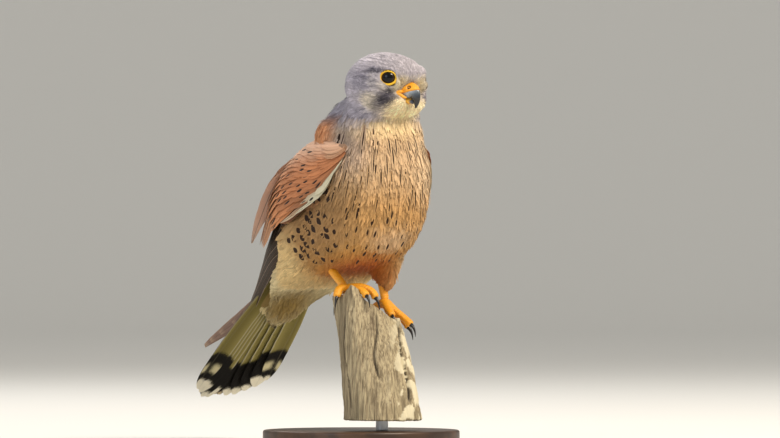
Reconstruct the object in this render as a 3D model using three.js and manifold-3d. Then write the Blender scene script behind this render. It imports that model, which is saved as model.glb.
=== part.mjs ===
// A male common kestrel, perched on the top of a broken branch stub, on a plain display stand.
// Millimetres, +Z up. The origin is the centre of the underside of the stand's base.
// The bird faces -Y, so its left side is +X and its right side is -X.

import * as THREE from 'three';
import { mergeVertices } from 'three/addons/utils/BufferGeometryUtils.js';
import Module from 'manifold-3d';

const wasm = await Module();
wasm.setup();

// Gap that neighbouring pieces keep, and the thickness of a feather's vane
const GAP = 0.3;
const VANE = 0.55;

// Stand and perch
const BASE_RADIUS = 64;
const BASE_HEIGHT = 10;
const BASE_BEVEL = 1.6;
const ROD_RADIUS = 4;
const PERCH_BOTTOM = 17;
const PERCH_FOOT = new THREE.Vector3(0, -27, PERCH_BOTTOM);
const PERCH_LEAN = new THREE.Vector3(-3, 17, 0);
const PERCH_RADIUS_LOW = 25;
const PERCH_RADIUS_TOP = 21.5;
const PERCH_SHOULDER = 82;

// Head, in its own frame: +Y runs out through the bill, +X is the bird's right side
const HEAD_CENTRE = new THREE.Vector3(0, -32, 233.5);
const HEAD_TURN = THREE.MathUtils.degToRad(15);
const HEAD_HALF_WIDTH = 24.5;
const HEAD_HALF_LENGTH = 28.5;
const HEAD_HALF_HEIGHT = 21.5;
const EYE_RADIUS = 6.8;
const EYE_CENTRE = new THREE.Vector3(12.8, 15.7, 4.4);
const EYE_OUTWARD = THREE.MathUtils.degToRad(38);
const LID_WIDTH = 5.5;
const LID_HEIGHT = 4.7;
const LID_OUT = 5;
const LID_SWELL = 0.2;
const NOSTRIL = new THREE.Vector3(4, 24.6, -1.9);
const NOSTRIL_RADIUS = 0.9;
const NOSTRIL_DEPTH = 1.4;

// Where the neck meets the torso
const NECK_CUT = { y: -20, z: 203 };
const NECK_CUT_TILT = 0.12;

// Tail: a fan hung from the rump
const TAIL_BASE = new THREE.Vector3(0, 51, 137);
const TAIL_LENGTH = 168;
const TAIL_SLOPE = THREE.MathUtils.degToRad(40);
const TAIL_FEATHERS = 12;

// Seeded draws, so that every run gives the same bird
function seeded(seed) {
  let state = seed;
  return () => {
    state = (state * 1664525 + 1013904223) % 4294967296;
    return state / 4294967296;
  };
}

const smooth = THREE.MathUtils.smoothstep;
const lerp = THREE.MathUtils.lerp;

// Value at t of a smooth curve through evenly spaced values
function along(values, t) {
  const span = values.length - 1;
  const cell = Math.min(Math.floor(t * span), span - 1);
  const at = (index) => values[THREE.MathUtils.clamp(index, 0, span)];
  const f = t * span - cell;
  const [a, b, c, d] = [at(cell - 1), at(cell), at(cell + 1), at(cell + 2)];
  return 0.5 * (2 * b + (c - a) * f + (2 * a - 5 * b + 4 * c - d) * f * f
    + (3 * b - a - 3 * c + d) * f * f * f);
}

// Closed surface with only positions, its shared vertices merged and its faces turned outwards
function closed(geometry) {
  geometry.deleteAttribute('normal');
  geometry.deleteAttribute('uv');
  const merged = mergeVertices(geometry, 1e-4);
  const index = merged.index.array;
  const position = merged.attributes.position;
  const [a, b, c] = [new THREE.Vector3(), new THREE.Vector3(), new THREE.Vector3()];
  let volume = 0;
  const faces = [];
  for (let i = 0; i < index.length; i += 3) {
    if (index[i] === index[i + 1] || index[i + 1] === index[i + 2] || index[i] === index[i + 2]) {
      continue;
    }
    faces.push(index[i], index[i + 1], index[i + 2]);
    a.fromBufferAttribute(position, index[i]);
    b.fromBufferAttribute(position, index[i + 1]);
    c.fromBufferAttribute(position, index[i + 2]);
    volume += a.dot(b.cross(c));
  }
  merged.setIndex(volume < 0 ? faces.reverse() : faces);
  return merged;
}

function solid(geometry) {
  const ready = closed(geometry);
  return new wasm.Manifold(new wasm.Mesh({
    numProp: 3,
    vertProperties: Float32Array.from(ready.attributes.position.array),
    triVerts: Uint32Array.from(ready.index.array),
  }));
}

// Slivers thinner than this are smoothed away after the cuts
const FINEST = 0.05;

// The largest closed surface of a solid: loose scraps and sealed hollows are dropped
function largest(body) {
  const parts = body.simplify(FINEST).decompose();
  return parts.reduce((best, part) => (part.volume() > best.volume() ? part : best));
}

function geometryOf(body) {
  const made = body.getMesh();
  const geometry = new THREE.BufferGeometry();
  geometry.setAttribute('position', new THREE.BufferAttribute(made.vertProperties, 3));
  geometry.setIndex(new THREE.BufferAttribute(made.triVerts, 1));
  geometry.computeVertexNormals();
  return geometry;
}

// A sphere pulled onto place(t, angle): t runs 0 to 1 from pole to pole, angle round it
function wrapped(around, rows, place) {
  const ball = closed(new THREE.SphereGeometry(1, around, rows));
  const position = ball.attributes.position;
  for (let i = 0; i < position.count; i += 1) {
    const t = Math.acos(THREE.MathUtils.clamp(position.getY(i), -1, 1)) / Math.PI;
    const angle = Math.atan2(position.getZ(i), position.getX(i));
    const point = place(t, angle);
    position.setXYZ(i, point.x, point.y, point.z);
  }
  return ball;
}

// A limb that follows a curve, with half its thickness given by deep(t) and half its width by wide(t),
// and grown all over by grow
function limb(curve, { deep, wide = deep }, grow, around, rows) {
  const across = new THREE.Vector3(1, 0, 0);
  return wrapped(around, rows, (t, angle) => {
    const ahead = curve.getTangentAt(t);
    const up = new THREE.Vector3().crossVectors(ahead, across).normalize();
    const side = new THREE.Vector3().crossVectors(up, ahead);
    const open = t === 0 || t === 1 ? 0 : 1;
    return curve.getPointAt(t)
      .addScaledVector(ahead, grow * (2 * t - 1))
      .addScaledVector(up, open * (deep(t) + grow) * Math.cos(angle))
      .addScaledVector(side, open * (wide(t) + grow) * Math.sin(angle));
  });
}

function curveThrough(points) {
  return new THREE.CatmullRomCurve3(points.map(([x, y, z]) => new THREE.Vector3(x, y, z)));
}

// Round at both ends, full in between: a radius that starts and ends at nothing
function rounded(t, start, end) {
  const head = t < start ? Math.sqrt(1 - ((start - t) / start) ** 2) : 1;
  const tail = t > 1 - end ? Math.sqrt(Math.max(0, 1 - ((t - 1 + end) / end) ** 2)) : 1;
  return head * tail;
}

// Body

// Sections along the spine from inside the head to the undertail: y and z of the centre, half width,
// and how far the section reaches to the back and to the belly
const BODY = {
  y: [-22, -22, -21, -19, -16, -8, 6, 24, 48, 70, 94, 120],
  z: [234, 222, 209, 193, 174, 155, 136, 121, 111, 102, 90, 76],
  half: [14, 23, 28.5, 33, 35.5, 36, 34.5, 33, 33, 27, 17, 10],
  back: [18, 34, 41, 43, 44, 46, 42, 37, 31, 20, 8, 3],
  belly: [12, 20, 25, 31, 36, 38, 27, 12, 12, 9, 6, 4],
};
const BODY_SQUARENESS = 2.3;

function bodyPoint(t, angle, grow) {
  const step = 0.01;
  const lo = Math.max(0, t - step);
  const hi = Math.min(1, t + step);
  const ahead = new THREE.Vector2(
    along(BODY.y, hi) - along(BODY.y, lo),
    along(BODY.z, hi) - along(BODY.z, lo),
  ).normalize();
  const back = new THREE.Vector2(-ahead.y, ahead.x);
  const power = 2 / BODY_SQUARENESS;
  const sideways = Math.sign(Math.cos(angle)) * Math.abs(Math.cos(angle)) ** power;
  const upward = Math.sign(Math.sin(angle)) * Math.abs(Math.sin(angle)) ** power;
  const end = rounded(t, 0.12, 0.1);
  const reach = upward > 0 ? along(BODY.back, t) : along(BODY.belly, t);
  const width = (along(BODY.half, t) * end + grow) * sideways;
  const height = (reach * end + grow) * upward;
  const pole = grow * (2 * t - 1) * (1 - end);
  return new THREE.Vector3(
    width,
    along(BODY.y, t) + back.x * height + ahead.x * pole,
    along(BODY.z, t) + back.y * height + ahead.y * pole,
  );
}

function bodySolid(grow) {
  return solid(wrapped(24, 20, (t, angle) => bodyPoint(t, angle, grow)));
}

// Head

const headFrame = new THREE.Matrix4()
  .makeTranslation(HEAD_CENTRE)
  .multiply(new THREE.Matrix4().makeRotationZ(Math.PI + HEAD_TURN));

function inHead(geometry) {
  return geometry.applyMatrix4(headFrame);
}

// Swellings of the head: where they sit as a direction, how wide they are and how far they stand out
const HEAD_FORMS = [
  { at: [0.62, 0.72, 0.45], spread: 0.3, rise: 0.06 },
  { at: [0.8, 0.35, -0.4], spread: 0.4, rise: 0.06 },
  { at: [0, 0.97, -0.24], spread: 0.42, rise: -0.22 },
  { at: [0, 0.6, -0.8], spread: 0.4, rise: 0.04 },
  { at: [0, -0.8, -0.6], spread: 0.5, rise: 0.04 },
  { at: [0, 0.2, 1], spread: 0.5, rise: -0.03 },
];

function headPoint(direction, grow) {
  const mirrored = new THREE.Vector3(Math.abs(direction.x), direction.y, direction.z);
  let size = 1;
  for (const form of HEAD_FORMS) {
    const away = mirrored.angleTo(new THREE.Vector3(...form.at));
    size += form.rise * Math.exp(-((away / form.spread) ** 2));
  }
  return new THREE.Vector3(
    direction.x * (HEAD_HALF_WIDTH * size + grow),
    direction.y * (HEAD_HALF_LENGTH * size + grow),
    direction.z * (HEAD_HALF_HEIGHT * size + grow),
  );
}

function headSolid(grow) {
  const ball = closed(new THREE.SphereGeometry(1, 26, 16).rotateX(Math.PI / 2));
  const position = ball.attributes.position;
  for (let i = 0; i < position.count; i += 1) {
    const point = headPoint(new THREE.Vector3().fromBufferAttribute(position, i), grow);
    position.setXYZ(i, point.x, point.y, point.z);
  }
  return solid(inHead(ball));
}

// The eye on side 1 is the right one: its frame's +Y looks out of the head, turned forwards
function eyeFrame(side) {
  return new THREE.Matrix4()
    .makeTranslation(side * EYE_CENTRE.x, EYE_CENTRE.y, EYE_CENTRE.z)
    .multiply(new THREE.Matrix4().makeRotationZ(-side * (Math.PI / 2 - EYE_OUTWARD)));
}

function eyeSolid(side, grow) {
  const ball = new THREE.SphereGeometry(EYE_RADIUS + grow, 14, 9).rotateX(Math.PI / 2);
  return solid(inHead(ball.applyMatrix4(eyeFrame(side))));
}

// A raised ring of bare skin round the eye
function lidSolid(side) {
  const ring = new THREE.TorusGeometry(1, LID_SWELL, 4, 16).rotateX(Math.PI / 2);
  ring.scale(LID_WIDTH, LID_WIDTH, LID_HEIGHT);
  ring.translate(0, LID_OUT, 0);
  return solid(inHead(ring.applyMatrix4(eyeFrame(side))));
}

// Upper bill with its cere, bent down to the hook
const BILL_SPINE = curveThrough([
  [0, 14, -3.6], [0, 20.5, -3.5], [0, 25, -4.6], [0, 27.6, -7.5], [0, 28.1, -11.3], [0, 27, -15.4],
]);
const BILL_DEEP = [5.2, 5.1, 4.6, 3.6, 2.3, 0.4];
const BILL_WIDE = [6.8, 6.2, 5, 3.5, 2.1, 0.3];
const LOWER_SPINE = curveThrough([[0, 13, -9.1], [0, 18.6, -10.2], [0, 22.8, -11.4], [0, 25.2, -12.1]]);

function upperBillSolid(grow) {
  const end = (t) => rounded(t, 0.08, 0.05);
  return solid(inHead(limb(BILL_SPINE, {
    deep: (t) => along(BILL_DEEP, t) * end(t),
    wide: (t) => along(BILL_WIDE, t) * end(t),
  }, grow, 16, 14)));
}

function lowerBillSolid(grow) {
  const end = (t) => rounded(t, 0.1, 0.2);
  return solid(inHead(limb(LOWER_SPINE, {
    deep: (t) => lerp(2.4, 1.1, t) * end(t),
    wide: (t) => lerp(6.2, 2, t) * end(t),
  }, grow, 12, 7)));
}

// The cut between the cere above and the horn below runs from the culmen down to the gape
const CERE_CUT = { y: 25.6, z: -4.4, tilt: 0.27 };

function cereCut() {
  const slab = new THREE.BoxGeometry(40, 60, GAP).rotateX(CERE_CUT.tilt);
  return solid(inHead(slab.translate(0, CERE_CUT.y, CERE_CUT.z)));
}

function nostrilSolid(side) {
  const hole = new THREE.CylinderGeometry(NOSTRIL_RADIUS, NOSTRIL_RADIUS, 2 * NOSTRIL_DEPTH, 8);
  hole.rotateZ(Math.PI / 2).rotateZ(side * 0.5);
  return solid(inHead(hole.translate(side * NOSTRIL.x, NOSTRIL.y, NOSTRIL.z)));
}

// Folded wings: each lies on one side of a shell that starts round the shoulders and narrows to the tips

const WING = {
  y: [-38, -12, 16, 44, 72, 104, 137, 172],
  z: [183, 168, 153, 138, 120, 96, 73, 51],
  half: [33, 41, 42, 38, 31, 23, 15, 4],
  back: [19, 37, 48, 47, 34, 17, 8, 3],
};
// Where round the shell the wing's edges lie, as turns from the side of the body: below it and above it
const WING_LOW = [0.1, 0.1, 0.05, 0, 0, 0, 0, 0];
const WING_HIGH = [0.9, 1.2, 1.42, 1.45, 1.3, 1.2, 1.1, 1];
const WING_SQUARENESS = 2.5;
const CROSSING_SHIFT = 23;
const CROSSING_LIFT = 11;

// A point of the wing on side 1 (left) or -1 (right): u from wrist to tip, v from the leading edge to
// the back, lift outwards from the shell
function wingPoint(side, u, v, lift) {
  const step = 0.01;
  const lo = Math.max(0, u - step);
  const hi = Math.min(1, u + step);
  const ahead = new THREE.Vector2(
    along(WING.y, hi) - along(WING.y, lo),
    along(WING.z, hi) - along(WING.z, lo),
  ).normalize();
  const angle = lerp(-along(WING_LOW, u), along(WING_HIGH, u), v);
  const power = 2 / WING_SQUARENESS;
  const sideways = Math.abs(Math.cos(angle)) ** power;
  const upward = Math.sign(Math.sin(angle)) * Math.abs(Math.sin(angle)) ** power;
  const width = (along(WING.half, u) + lift) * sideways;
  const height = (along(WING.back, u) + lift) * upward;
  const cross = side > 0 ? smooth(u, 0.45, 1) : 0;
  return new THREE.Vector3(
    side * width - cross * CROSSING_SHIFT,
    along(WING.y, u) - ahead.y * height,
    along(WING.z, u) + ahead.x * height + cross * CROSSING_LIFT,
  );
}

// A smooth closed leaf over part of the wing
function wingLeaf(side, { from, to, low, high, thick, lift, rounding }, grow) {
  return solid(wrapped(12, 8, (t, angle) => {
    const u = lerp(from, to, t);
    const middle = (low + high) / 2;
    const half = ((high - low) / 2) * rounded(t, rounding[0], rounding[1]);
    const v = middle + half * Math.cos(angle);
    const edge = rounded(t, 0.08, 0.1) * Math.sin(angle);
    return wingPoint(side, u, v, lift + (thick / 2 + grow) * edge);
  }));
}

// The frame of a surface at a point of a feather's path: where it is, its way ahead, its side and its up
function pathFrame(place, path, t) {
  const step = 0.02;
  const at = (share) => {
    const [u, v] = path(share);
    return place(u, v, 0);
  };
  const here = at(t);
  const ahead = at(Math.min(1, t + step)).sub(at(Math.max(0, t - step))).normalize();
  const [u, v] = path(t);
  const up = place(u, v, 1).sub(place(u, v, -1)).normalize();
  const side = new THREE.Vector3().crossVectors(ahead, up).normalize();
  return { here, ahead, side, up: new THREE.Vector3().crossVectors(side, ahead) };
}

// How a vane's width swells and closes from root to tip
const VANE_OUTLINE = [0.45, 0.85, 1, 0.97, 0.8, 0.34];

// One feather as a thin closed plate over a surface. path(t) gives its shaft's place, left and right its
// greatest half widths, lift(t) its height, roll how its edges lean and hollow how far they droop. A
// ridged vane has a shaft line along its middle
function vaneSolid(place, { path, left, right = left, lift, roll = 0, hollow = 0, ridged = false, rows }, grow) {
  const stations = ridged ? [-1, 0, 1] : [-1, 1];
  const position = [];
  const half = VANE / 2 + grow;
  for (let row = 0; row <= rows; row += 1) {
    const t = row / rows;
    const share = along(VANE_OUTLINE, t);
    const { here, ahead, side, up } = pathFrame(place, path, t);
    const end = grow * (Number(row === rows) - Number(row === 0));
    for (const across of stations) {
      const w = across * ((across < 0 ? left : right) * share + grow);
      const h = lift(t) + roll * across * share - hollow * across * across * share;
      for (const face of [1, -1]) {
        const point = here.clone().addScaledVector(side, w).addScaledVector(ahead, end)
          .addScaledVector(up, h + face * half);
        position.push(point.x, point.y, point.z);
      }
    }
  }
  // Each row holds an upper and a lower point for every station, and both faces share their diagonals
  const index = [];
  const quad = (a, b, c, d) => index.push(a, b, c, a, c, d);
  const step = 2 * stations.length;
  for (let row = 0; row < rows; row += 1) {
    const a = row * step;
    const b = a + step;
    for (let s = 0; s < step - 2; s += 2) {
      quad(a + s, a + s + 2, b + s + 2, b + s);
      quad(a + s + 1, b + s + 1, b + s + 3, a + s + 3);
    }
    quad(a + 1, a, b, b + 1);
    quad(a + step - 2, a + step - 1, b + step - 1, b + step - 2);
  }
  for (let s = 0; s < step - 2; s += 2) {
    const last = rows * step + s;
    quad(s, s + 1, s + 3, s + 2);
    quad(last, last + 2, last + 3, last + 1);
  }
  const plate = new THREE.BufferGeometry();
  plate.setAttribute('position', new THREE.Float32BufferAttribute(position, 3));
  plate.setIndex(index);
  return solid(plate);
}

// Tiers of wing feathers, from the lesser coverts down to secondaries and tertials: how many, the lowest
// and highest place across the wing, where along it roots and tips of those two lie, half width, how
// high the tips stand, and whether a shaft line shows
const WING_TIERS = [
  { count: 5, across: [0.08, 0.9], root: [0.05, 0.12], tip: [0.18, 0.3], width: 6.6, high: 2, ridged: false },
  { count: 6, across: [0.06, 0.92], root: [0.14, 0.24], tip: [0.29, 0.41], width: 6, high: 2, ridged: false },
  { count: 7, across: [0.06, 0.94], root: [0.23, 0.35], tip: [0.41, 0.53], width: 5.4, high: 2, ridged: false },
  { count: 7, across: [0.2, 0.76], root: [0.34, 0.43], tip: [0.57, 0.63], width: 4.6, high: 0.4, ridged: true },
  { count: 3, across: [0.84, 1], root: [0.34, 0.34], tip: [0.63, 0.585], width: 7, high: 5.6, ridged: true },
];
const WING_CORE = { from: 0, to: 0.5, low: 0, high: 0.98, thick: 4.4, lift: -2.6, rounding: [0.22, 0.3] };
const WING_ROOT = -1.6;
const WING_ROLL = 0.55;

function wingSolid(side, grow) {
  const place = (u, v, lift) => wingPoint(side, u, v, lift);
  const draw = seeded(side > 0 ? 11 : 12);
  let wing = wingLeaf(side, WING_CORE, grow);
  for (const { count, across, root, tip, width, high, ridged } of WING_TIERS) {
    for (let k = 0; k < count; k += 1) {
      const step = k / (count - 1);
      const v = lerp(across[0], across[1], step) + 0.01 * (draw() - 0.5);
      const from = lerp(root[0], root[1], step);
      const to = lerp(tip[0], tip[1], step) + 0.01 * (draw() - 0.5);
      wing = wing.add(vaneSolid(place, {
        path: (t) => [lerp(from, to, t), v],
        left: width * (0.96 + 0.08 * draw()),
        lift: (t) => lerp(WING_ROOT, high, t),
        roll: side * WING_ROLL,
        ridged,
        hollow: ridged ? 0.3 : 0,
        rows: 3,
      }, grow));
    }
  }
  return wing;
}

// The long outer flight feathers, from the leading edge back: how far along the wing each tip lies,
// where across the wing root and tip lie, and how high the vane lies
const PRIMARIES = [
  { tip: 0.955, across: [-0.13, -0.05], lift: -1.4 },
  { tip: 1, across: [0, 0.12], lift: -3.2 },
  { tip: 0.985, across: [0.14, 0.28], lift: -5 },
  { tip: 0.94, across: [0.29, 0.44], lift: -5.9 },
  { tip: 0.885, across: [0.42, 0.56], lift: -6.8 },
  { tip: 0.83, across: [0.56, 0.68], lift: -7.7 },
  { tip: 0.775, across: [0.7, 0.8], lift: -8.6 },
];
const PRIMARY_WIDTH = 4.8;
const PRIMARY_REACH = { left: 1, right: 0.95 };
const HAND_CORE = { from: 0.38, to: 0.57, low: 0.02, high: 0.8, thick: 4.6, lift: -7.6, rounding: [0.4, 0.4] };

function primariesSolid(side, grow) {
  const place = (u, v, lift) => wingPoint(side, u, v, lift);
  const reach = side > 0 ? PRIMARY_REACH.left : PRIMARY_REACH.right;
  let hand = wingLeaf(side, HAND_CORE, grow);
  PRIMARIES.forEach(({ tip, across, lift }, k) => {
    const from = 0.46 + 0.006 * k;
    hand = hand.add(vaneSolid(place, {
      path: (t) => [lerp(from, tip * reach, t), lerp(across[0], across[1], t)],
      left: PRIMARY_WIDTH,
      lift: (t) => lerp(-7.2, lift, smooth(t, 0, 0.3)),
      rows: 5,
    }, grow));
  });
  return hand;
}

// Tail

const tailAhead = new THREE.Vector3(0, Math.cos(TAIL_SLOPE), -Math.sin(TAIL_SLOPE));
const tailUp = new THREE.Vector3(0, Math.sin(TAIL_SLOPE), Math.cos(TAIL_SLOPE));
const TAIL_HALF = [8, 15, 21, 26, 29, 31, 32];
const TAIL_SKEW = -6;
const TAIL_ROUNDING = 23;

function tailPoint(a, f, lift) {
  const share = a / TAIL_LENGTH;
  const droop = -4 * (f / 30) ** 2;
  return TAIL_BASE.clone()
    .addScaledVector(tailAhead, a)
    .addScaledVector(tailUp, lift + droop)
    .add(new THREE.Vector3(f + TAIL_SKEW * share, 0, 0));
}

// The core that the tail feathers grow from, and the feathers as a fan: the middle pair lies on top
const TAIL_CORE = { from: 8, to: 62, half: 17, thick: 8, lift: 2.8 };
const TAIL_STEP = 1;
const TAIL_VANE = 9.5;
const OUTER_WEB = 4;

function tailSolid(grow) {
  let tail = solid(wrapped(14, 8, (t, angle) => {
    const open = rounded(t, 0.3, 0.5);
    const growing = t > 0 && t < 1 ? grow : 0;
    const a = lerp(TAIL_CORE.from, TAIL_CORE.to, t) + grow * (2 * t - 1);
    const f = (TAIL_CORE.half * open + growing) * Math.cos(angle);
    const lift = TAIL_CORE.lift + ((TAIL_CORE.thick / 2) * open + growing) * Math.sin(angle);
    return tailPoint(a, f, lift);
  }));
  const pairs = TAIL_FEATHERS / 2;
  for (let pair = 0; pair < pairs; pair += 1) {
    for (const side of [-1, 1]) {
      const spread = (side * (pair + 0.45)) / pairs;
      const length = TAIL_LENGTH - TAIL_ROUNDING * (pair / (pairs - 1)) ** 2;
      const web = (edge) => (pair === pairs - 1 && edge === side ? OUTER_WEB : TAIL_VANE);
      tail = tail.add(vaneSolid(tailPoint, {
        path: (t) => {
          const a = lerp(30, length, t);
          return [a, spread * (along(TAIL_HALF, a / TAIL_LENGTH) - 3)];
        },
        left: web(-1),
        right: web(1),
        lift: () => TAIL_STEP * (pairs - 1 - pair + (side > 0 ? 0.5 : 0)),
        rows: 5,
      }, grow));
    }
  }
  return tail;
}

// Everything up to the gap above the tail, as one plain plate: what lies over the tail is cut by it
function tailCover() {
  const top = TAIL_STEP * (TAIL_FEATHERS / 2) + VANE / 2 + GAP;
  const depth = 16;
  const cover = new THREE.BoxGeometry(1, 1, 1, 8, 5, 1);
  const position = cover.attributes.position;
  for (let i = 0; i < position.count; i += 1) {
    const a = lerp(20, TAIL_LENGTH + 5, position.getY(i) + 0.5);
    const lift = position.getZ(i) > 0 ? top : -depth;
    const point = tailPoint(a, position.getX(i) * 80, lift);
    position.setXYZ(i, point.x, point.y, point.z);
  }
  return solid(cover);
}

// Legs and feet

const LEGS = {
  right: {
    thigh: { path: [[-16, 20, 146], [-18, 17, 131], [-18, 13, 120], [-16, 8, 111]], size: [9, 14, 13, 6] },
    shank: [[-19, 23, 128], [-18.6, 9.5, 116], [-15.9, -5.5, 103]],
    toes: [
      { name: 'middle', path: [[-15, -7, 101.6], [-14.2, -16.5, 101], [-13.2, -24, 100.4], [-12.8, -29.5, 97.4]] },
      { name: 'inner', path: [[-14, -7, 102], [-9, -16, 102.5], [-5.5, -23, 100], [-4.5, -27, 96]] },
      { name: 'outer', path: [[-16, -7, 102], [-21, -11, 102], [-25, -14, 100.5], [-27, -15.5, 96.5]] },
      { name: 'hind', path: [[-15, -7, 101.5], [-14, 2, 101], [-13, 8, 98.5], [-12.5, 11.5, 93]] },
    ],
  },
  left: {
    thigh: { path: [[17, 12, 146], [18.5, 4, 128], [18, -3, 113], [16.5, -7, 99]], size: [16, 16, 12, 4.5] },
    shank: [[13, 9, 131], [14, 0, 110], [15, -5, 94]],
    toes: [
      { name: 'middle', path: [[15, -5, 93], [18.4, -12, 87], [21.3, -18.8, 82.4], [23.2, -25, 78.4]] },
      { name: 'inner', path: [[14.4, -5.5, 93], [12, -13, 89.6], [10.2, -19.5, 86.6], [9.2, -24.5, 84.2]] },
      { name: 'outer', path: [[15.6, -4.6, 93], [20, -8.4, 87.2], [24, -12.4, 81.6], [26, -16.4, 76.6]] },
      { name: 'hind', path: [[15, -5, 93], [13.2, 2.6, 90], [12, 8, 86.5], [11.5, 11, 81]] },
    ],
  },
};
const SHANK_RADIUS = 2.4;
const TOE_RADIUS = 2.7;
const CLAW_LENGTH = 9;
const SCUTE_HEIGHT = 0.55;
const SCUTE_TILT = 0.1;
const SHANK_SCUTES = { count: 5, from: 0.45, to: 0.95, radius: SHANK_RADIUS, front: new THREE.Vector3(0, -1, 0.2) };
const TOE_SCUTES = { count: 3, from: 0.22, to: 0.86, radius: TOE_RADIUS * 0.92, front: new THREE.Vector3(0, 0, 1) };

function thighSolid(leg, grow) {
  const { path, size } = leg.thigh;
  const deep = (t) => along(size, t) * rounded(t, 0.25, 0.12);
  return solid(limb(curveThrough(path), { deep }, grow, 14, 10));
}

// One scute: a small plate that stands a little proud of a limb on the side that front points to
function scuteSolid(curve, t, radius, length, front) {
  const ahead = curve.getTangentAt(t);
  const out = front.clone().addScaledVector(ahead, -front.dot(ahead)).normalize();
  const across = new THREE.Vector3().crossVectors(out, ahead);
  const plate = new THREE.BoxGeometry(1.25 * radius, length, SCUTE_HEIGHT * 2).rotateX(SCUTE_TILT);
  const place = curve.getPointAt(t).addScaledVector(out, radius - SCUTE_HEIGHT * 0.55);
  return solid(plate.applyMatrix4(new THREE.Matrix4().makeBasis(across, ahead, out).setPosition(place)));
}

// A row of scutes down a limb between two shares of its length
function scuteRow(limbSolid, path, { count, from, to, radius, front }) {
  const curve = curveThrough(path);
  const length = (curve.getLength() * (to - from) / count) * 0.86;
  let covered = limbSolid;
  for (let k = 0; k < count; k += 1) {
    const t = lerp(from, to, (k + 0.5) / count);
    covered = covered.add(scuteSolid(curve, t, radius, length, front));
  }
  return covered;
}

function shankSolid(leg, grow) {
  const deep = (t) => SHANK_RADIUS * rounded(t, 0.08, 0.08);
  return solid(limb(curveThrough(leg.shank), { deep }, grow, 10, 8));
}

function toeSolid(toe, grow) {
  const deep = (t) => lerp(TOE_RADIUS * 1.1, TOE_RADIUS * 0.75, t) * rounded(t, 0.1, 0.12);
  return solid(limb(curveThrough(toe.path), { deep }, grow, 7, 8));
}

function footSolid(leg, grow) {
  return leg.toes.map((toe) => toeSolid(toe, grow)).reduce((all, toe) => all.add(toe));
}

function clawSolid(toe, grow) {
  const path = toe.path.map(([x, y, z]) => new THREE.Vector3(x, y, z));
  const tip = path[path.length - 1];
  const ahead = tip.clone().sub(path[path.length - 2]).normalize();
  const down = new THREE.Vector3(0, 0, -1);
  const points = [0, 0.35, 0.7, 1].map((share) => tip.clone()
    .addScaledVector(ahead, CLAW_LENGTH * (share - 0.12) * (1 - 0.55 * share))
    .addScaledVector(down, CLAW_LENGTH * 0.8 * share ** 1.6));
  const deep = (t) => lerp(1.6, 0.3, t) * rounded(t, 0.12, 0.02);
  return solid(limb(new THREE.CatmullRomCurve3(points), { deep }, grow, 6, 6));
}

// Perch: a weathered stub, broken off on a slant with a splinter standing up at its near side

const PERCH_ROWS = 9;
const PERCH_CAP_ROWS = 4;
const PERCH_SIDES = 26;
const PERCH_SLANT = -0.36;
const SPLINTER = { x: -20, y: -24.5, spread: 5, rise: 11.5 };
// Broken lower where the left foot grips
const PERCH_NOTCH = { x: 5.5, spread: 8, drop: 4.6 };

function perchTop(x, y) {
  const away = Math.hypot(x - SPLINTER.x, y - SPLINTER.y);
  const splinter = SPLINTER.rise * Math.exp(-((away / SPLINTER.spread) ** 2));
  const notch = PERCH_NOTCH.drop * Math.exp(-(((x - PERCH_NOTCH.x) / PERCH_NOTCH.spread) ** 2));
  return 90.5 + PERCH_SLANT * (x + 4) + splinter - notch;
}

function perchCentre(z) {
  const share = Math.max(0, (z - PERCH_BOTTOM) / (PERCH_SHOULDER - PERCH_BOTTOM));
  return new THREE.Vector2(PERCH_LEAN.x * share, PERCH_FOOT.y + PERCH_LEAN.y * share ** 1.6);
}

function perchSolid() {
  const draw = seeded(5);
  const waves = Array.from({ length: 7 }, (_, k) => ({ count: k + 2, phase: draw() * 6.28, turn: draw() * 0.03 }));
  const profile = [new THREE.Vector2(0, 0)];
  for (let row = 0; row <= PERCH_ROWS; row += 1) {
    profile.push(new THREE.Vector2(1, row / PERCH_ROWS));
  }
  for (let row = PERCH_CAP_ROWS - 1; row >= 0; row -= 1) {
    profile.push(new THREE.Vector2(row / PERCH_CAP_ROWS, 1));
  }
  const stub = closed(new THREE.LatheGeometry(profile, PERCH_SIDES).rotateX(Math.PI / 2));
  const position = stub.attributes.position;
  for (let i = 0; i < position.count; i += 1) {
    const [px, py, pz] = [position.getX(i), position.getY(i), position.getZ(i)];
    const share = Math.hypot(px, py);
    const angle = Math.atan2(py, px);
    const zSide = lerp(PERCH_BOTTOM, PERCH_SHOULDER, pz);
    let radius = lerp(PERCH_RADIUS_LOW, PERCH_RADIUS_TOP, pz);
    for (const wave of waves) {
      radius += (1.4 / wave.count) * Math.sin(wave.count * angle + wave.phase + wave.turn * zSide);
    }
    const centre = perchCentre(zSide);
    const x = centre.x + share * radius * Math.cos(angle);
    const y = centre.y + share * radius * Math.sin(angle);
    const z = lerp(PERCH_BOTTOM, perchTop(x, y), pz);
    position.setXYZ(i, x, y, z);
  }
  return solid(stub);
}

function rodSolid() {
  const height = PERCH_BOTTOM - BASE_HEIGHT - 2 * GAP;
  const rod = new THREE.CylinderGeometry(ROD_RADIUS, ROD_RADIUS, height, 16).rotateX(Math.PI / 2);
  return solid(rod.translate(PERCH_FOOT.x, PERCH_FOOT.y, BASE_HEIGHT + GAP + height / 2));
}

function baseSolid() {
  const profile = [
    [0, 0], [BASE_RADIUS, 0], [BASE_RADIUS, BASE_HEIGHT - BASE_BEVEL],
    [BASE_RADIUS - BASE_BEVEL, BASE_HEIGHT], [0, BASE_HEIGHT],
  ].map(([x, y]) => new THREE.Vector2(x, y));
  return solid(new THREE.LatheGeometry(profile, 48).rotateX(Math.PI / 2));
}

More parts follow.
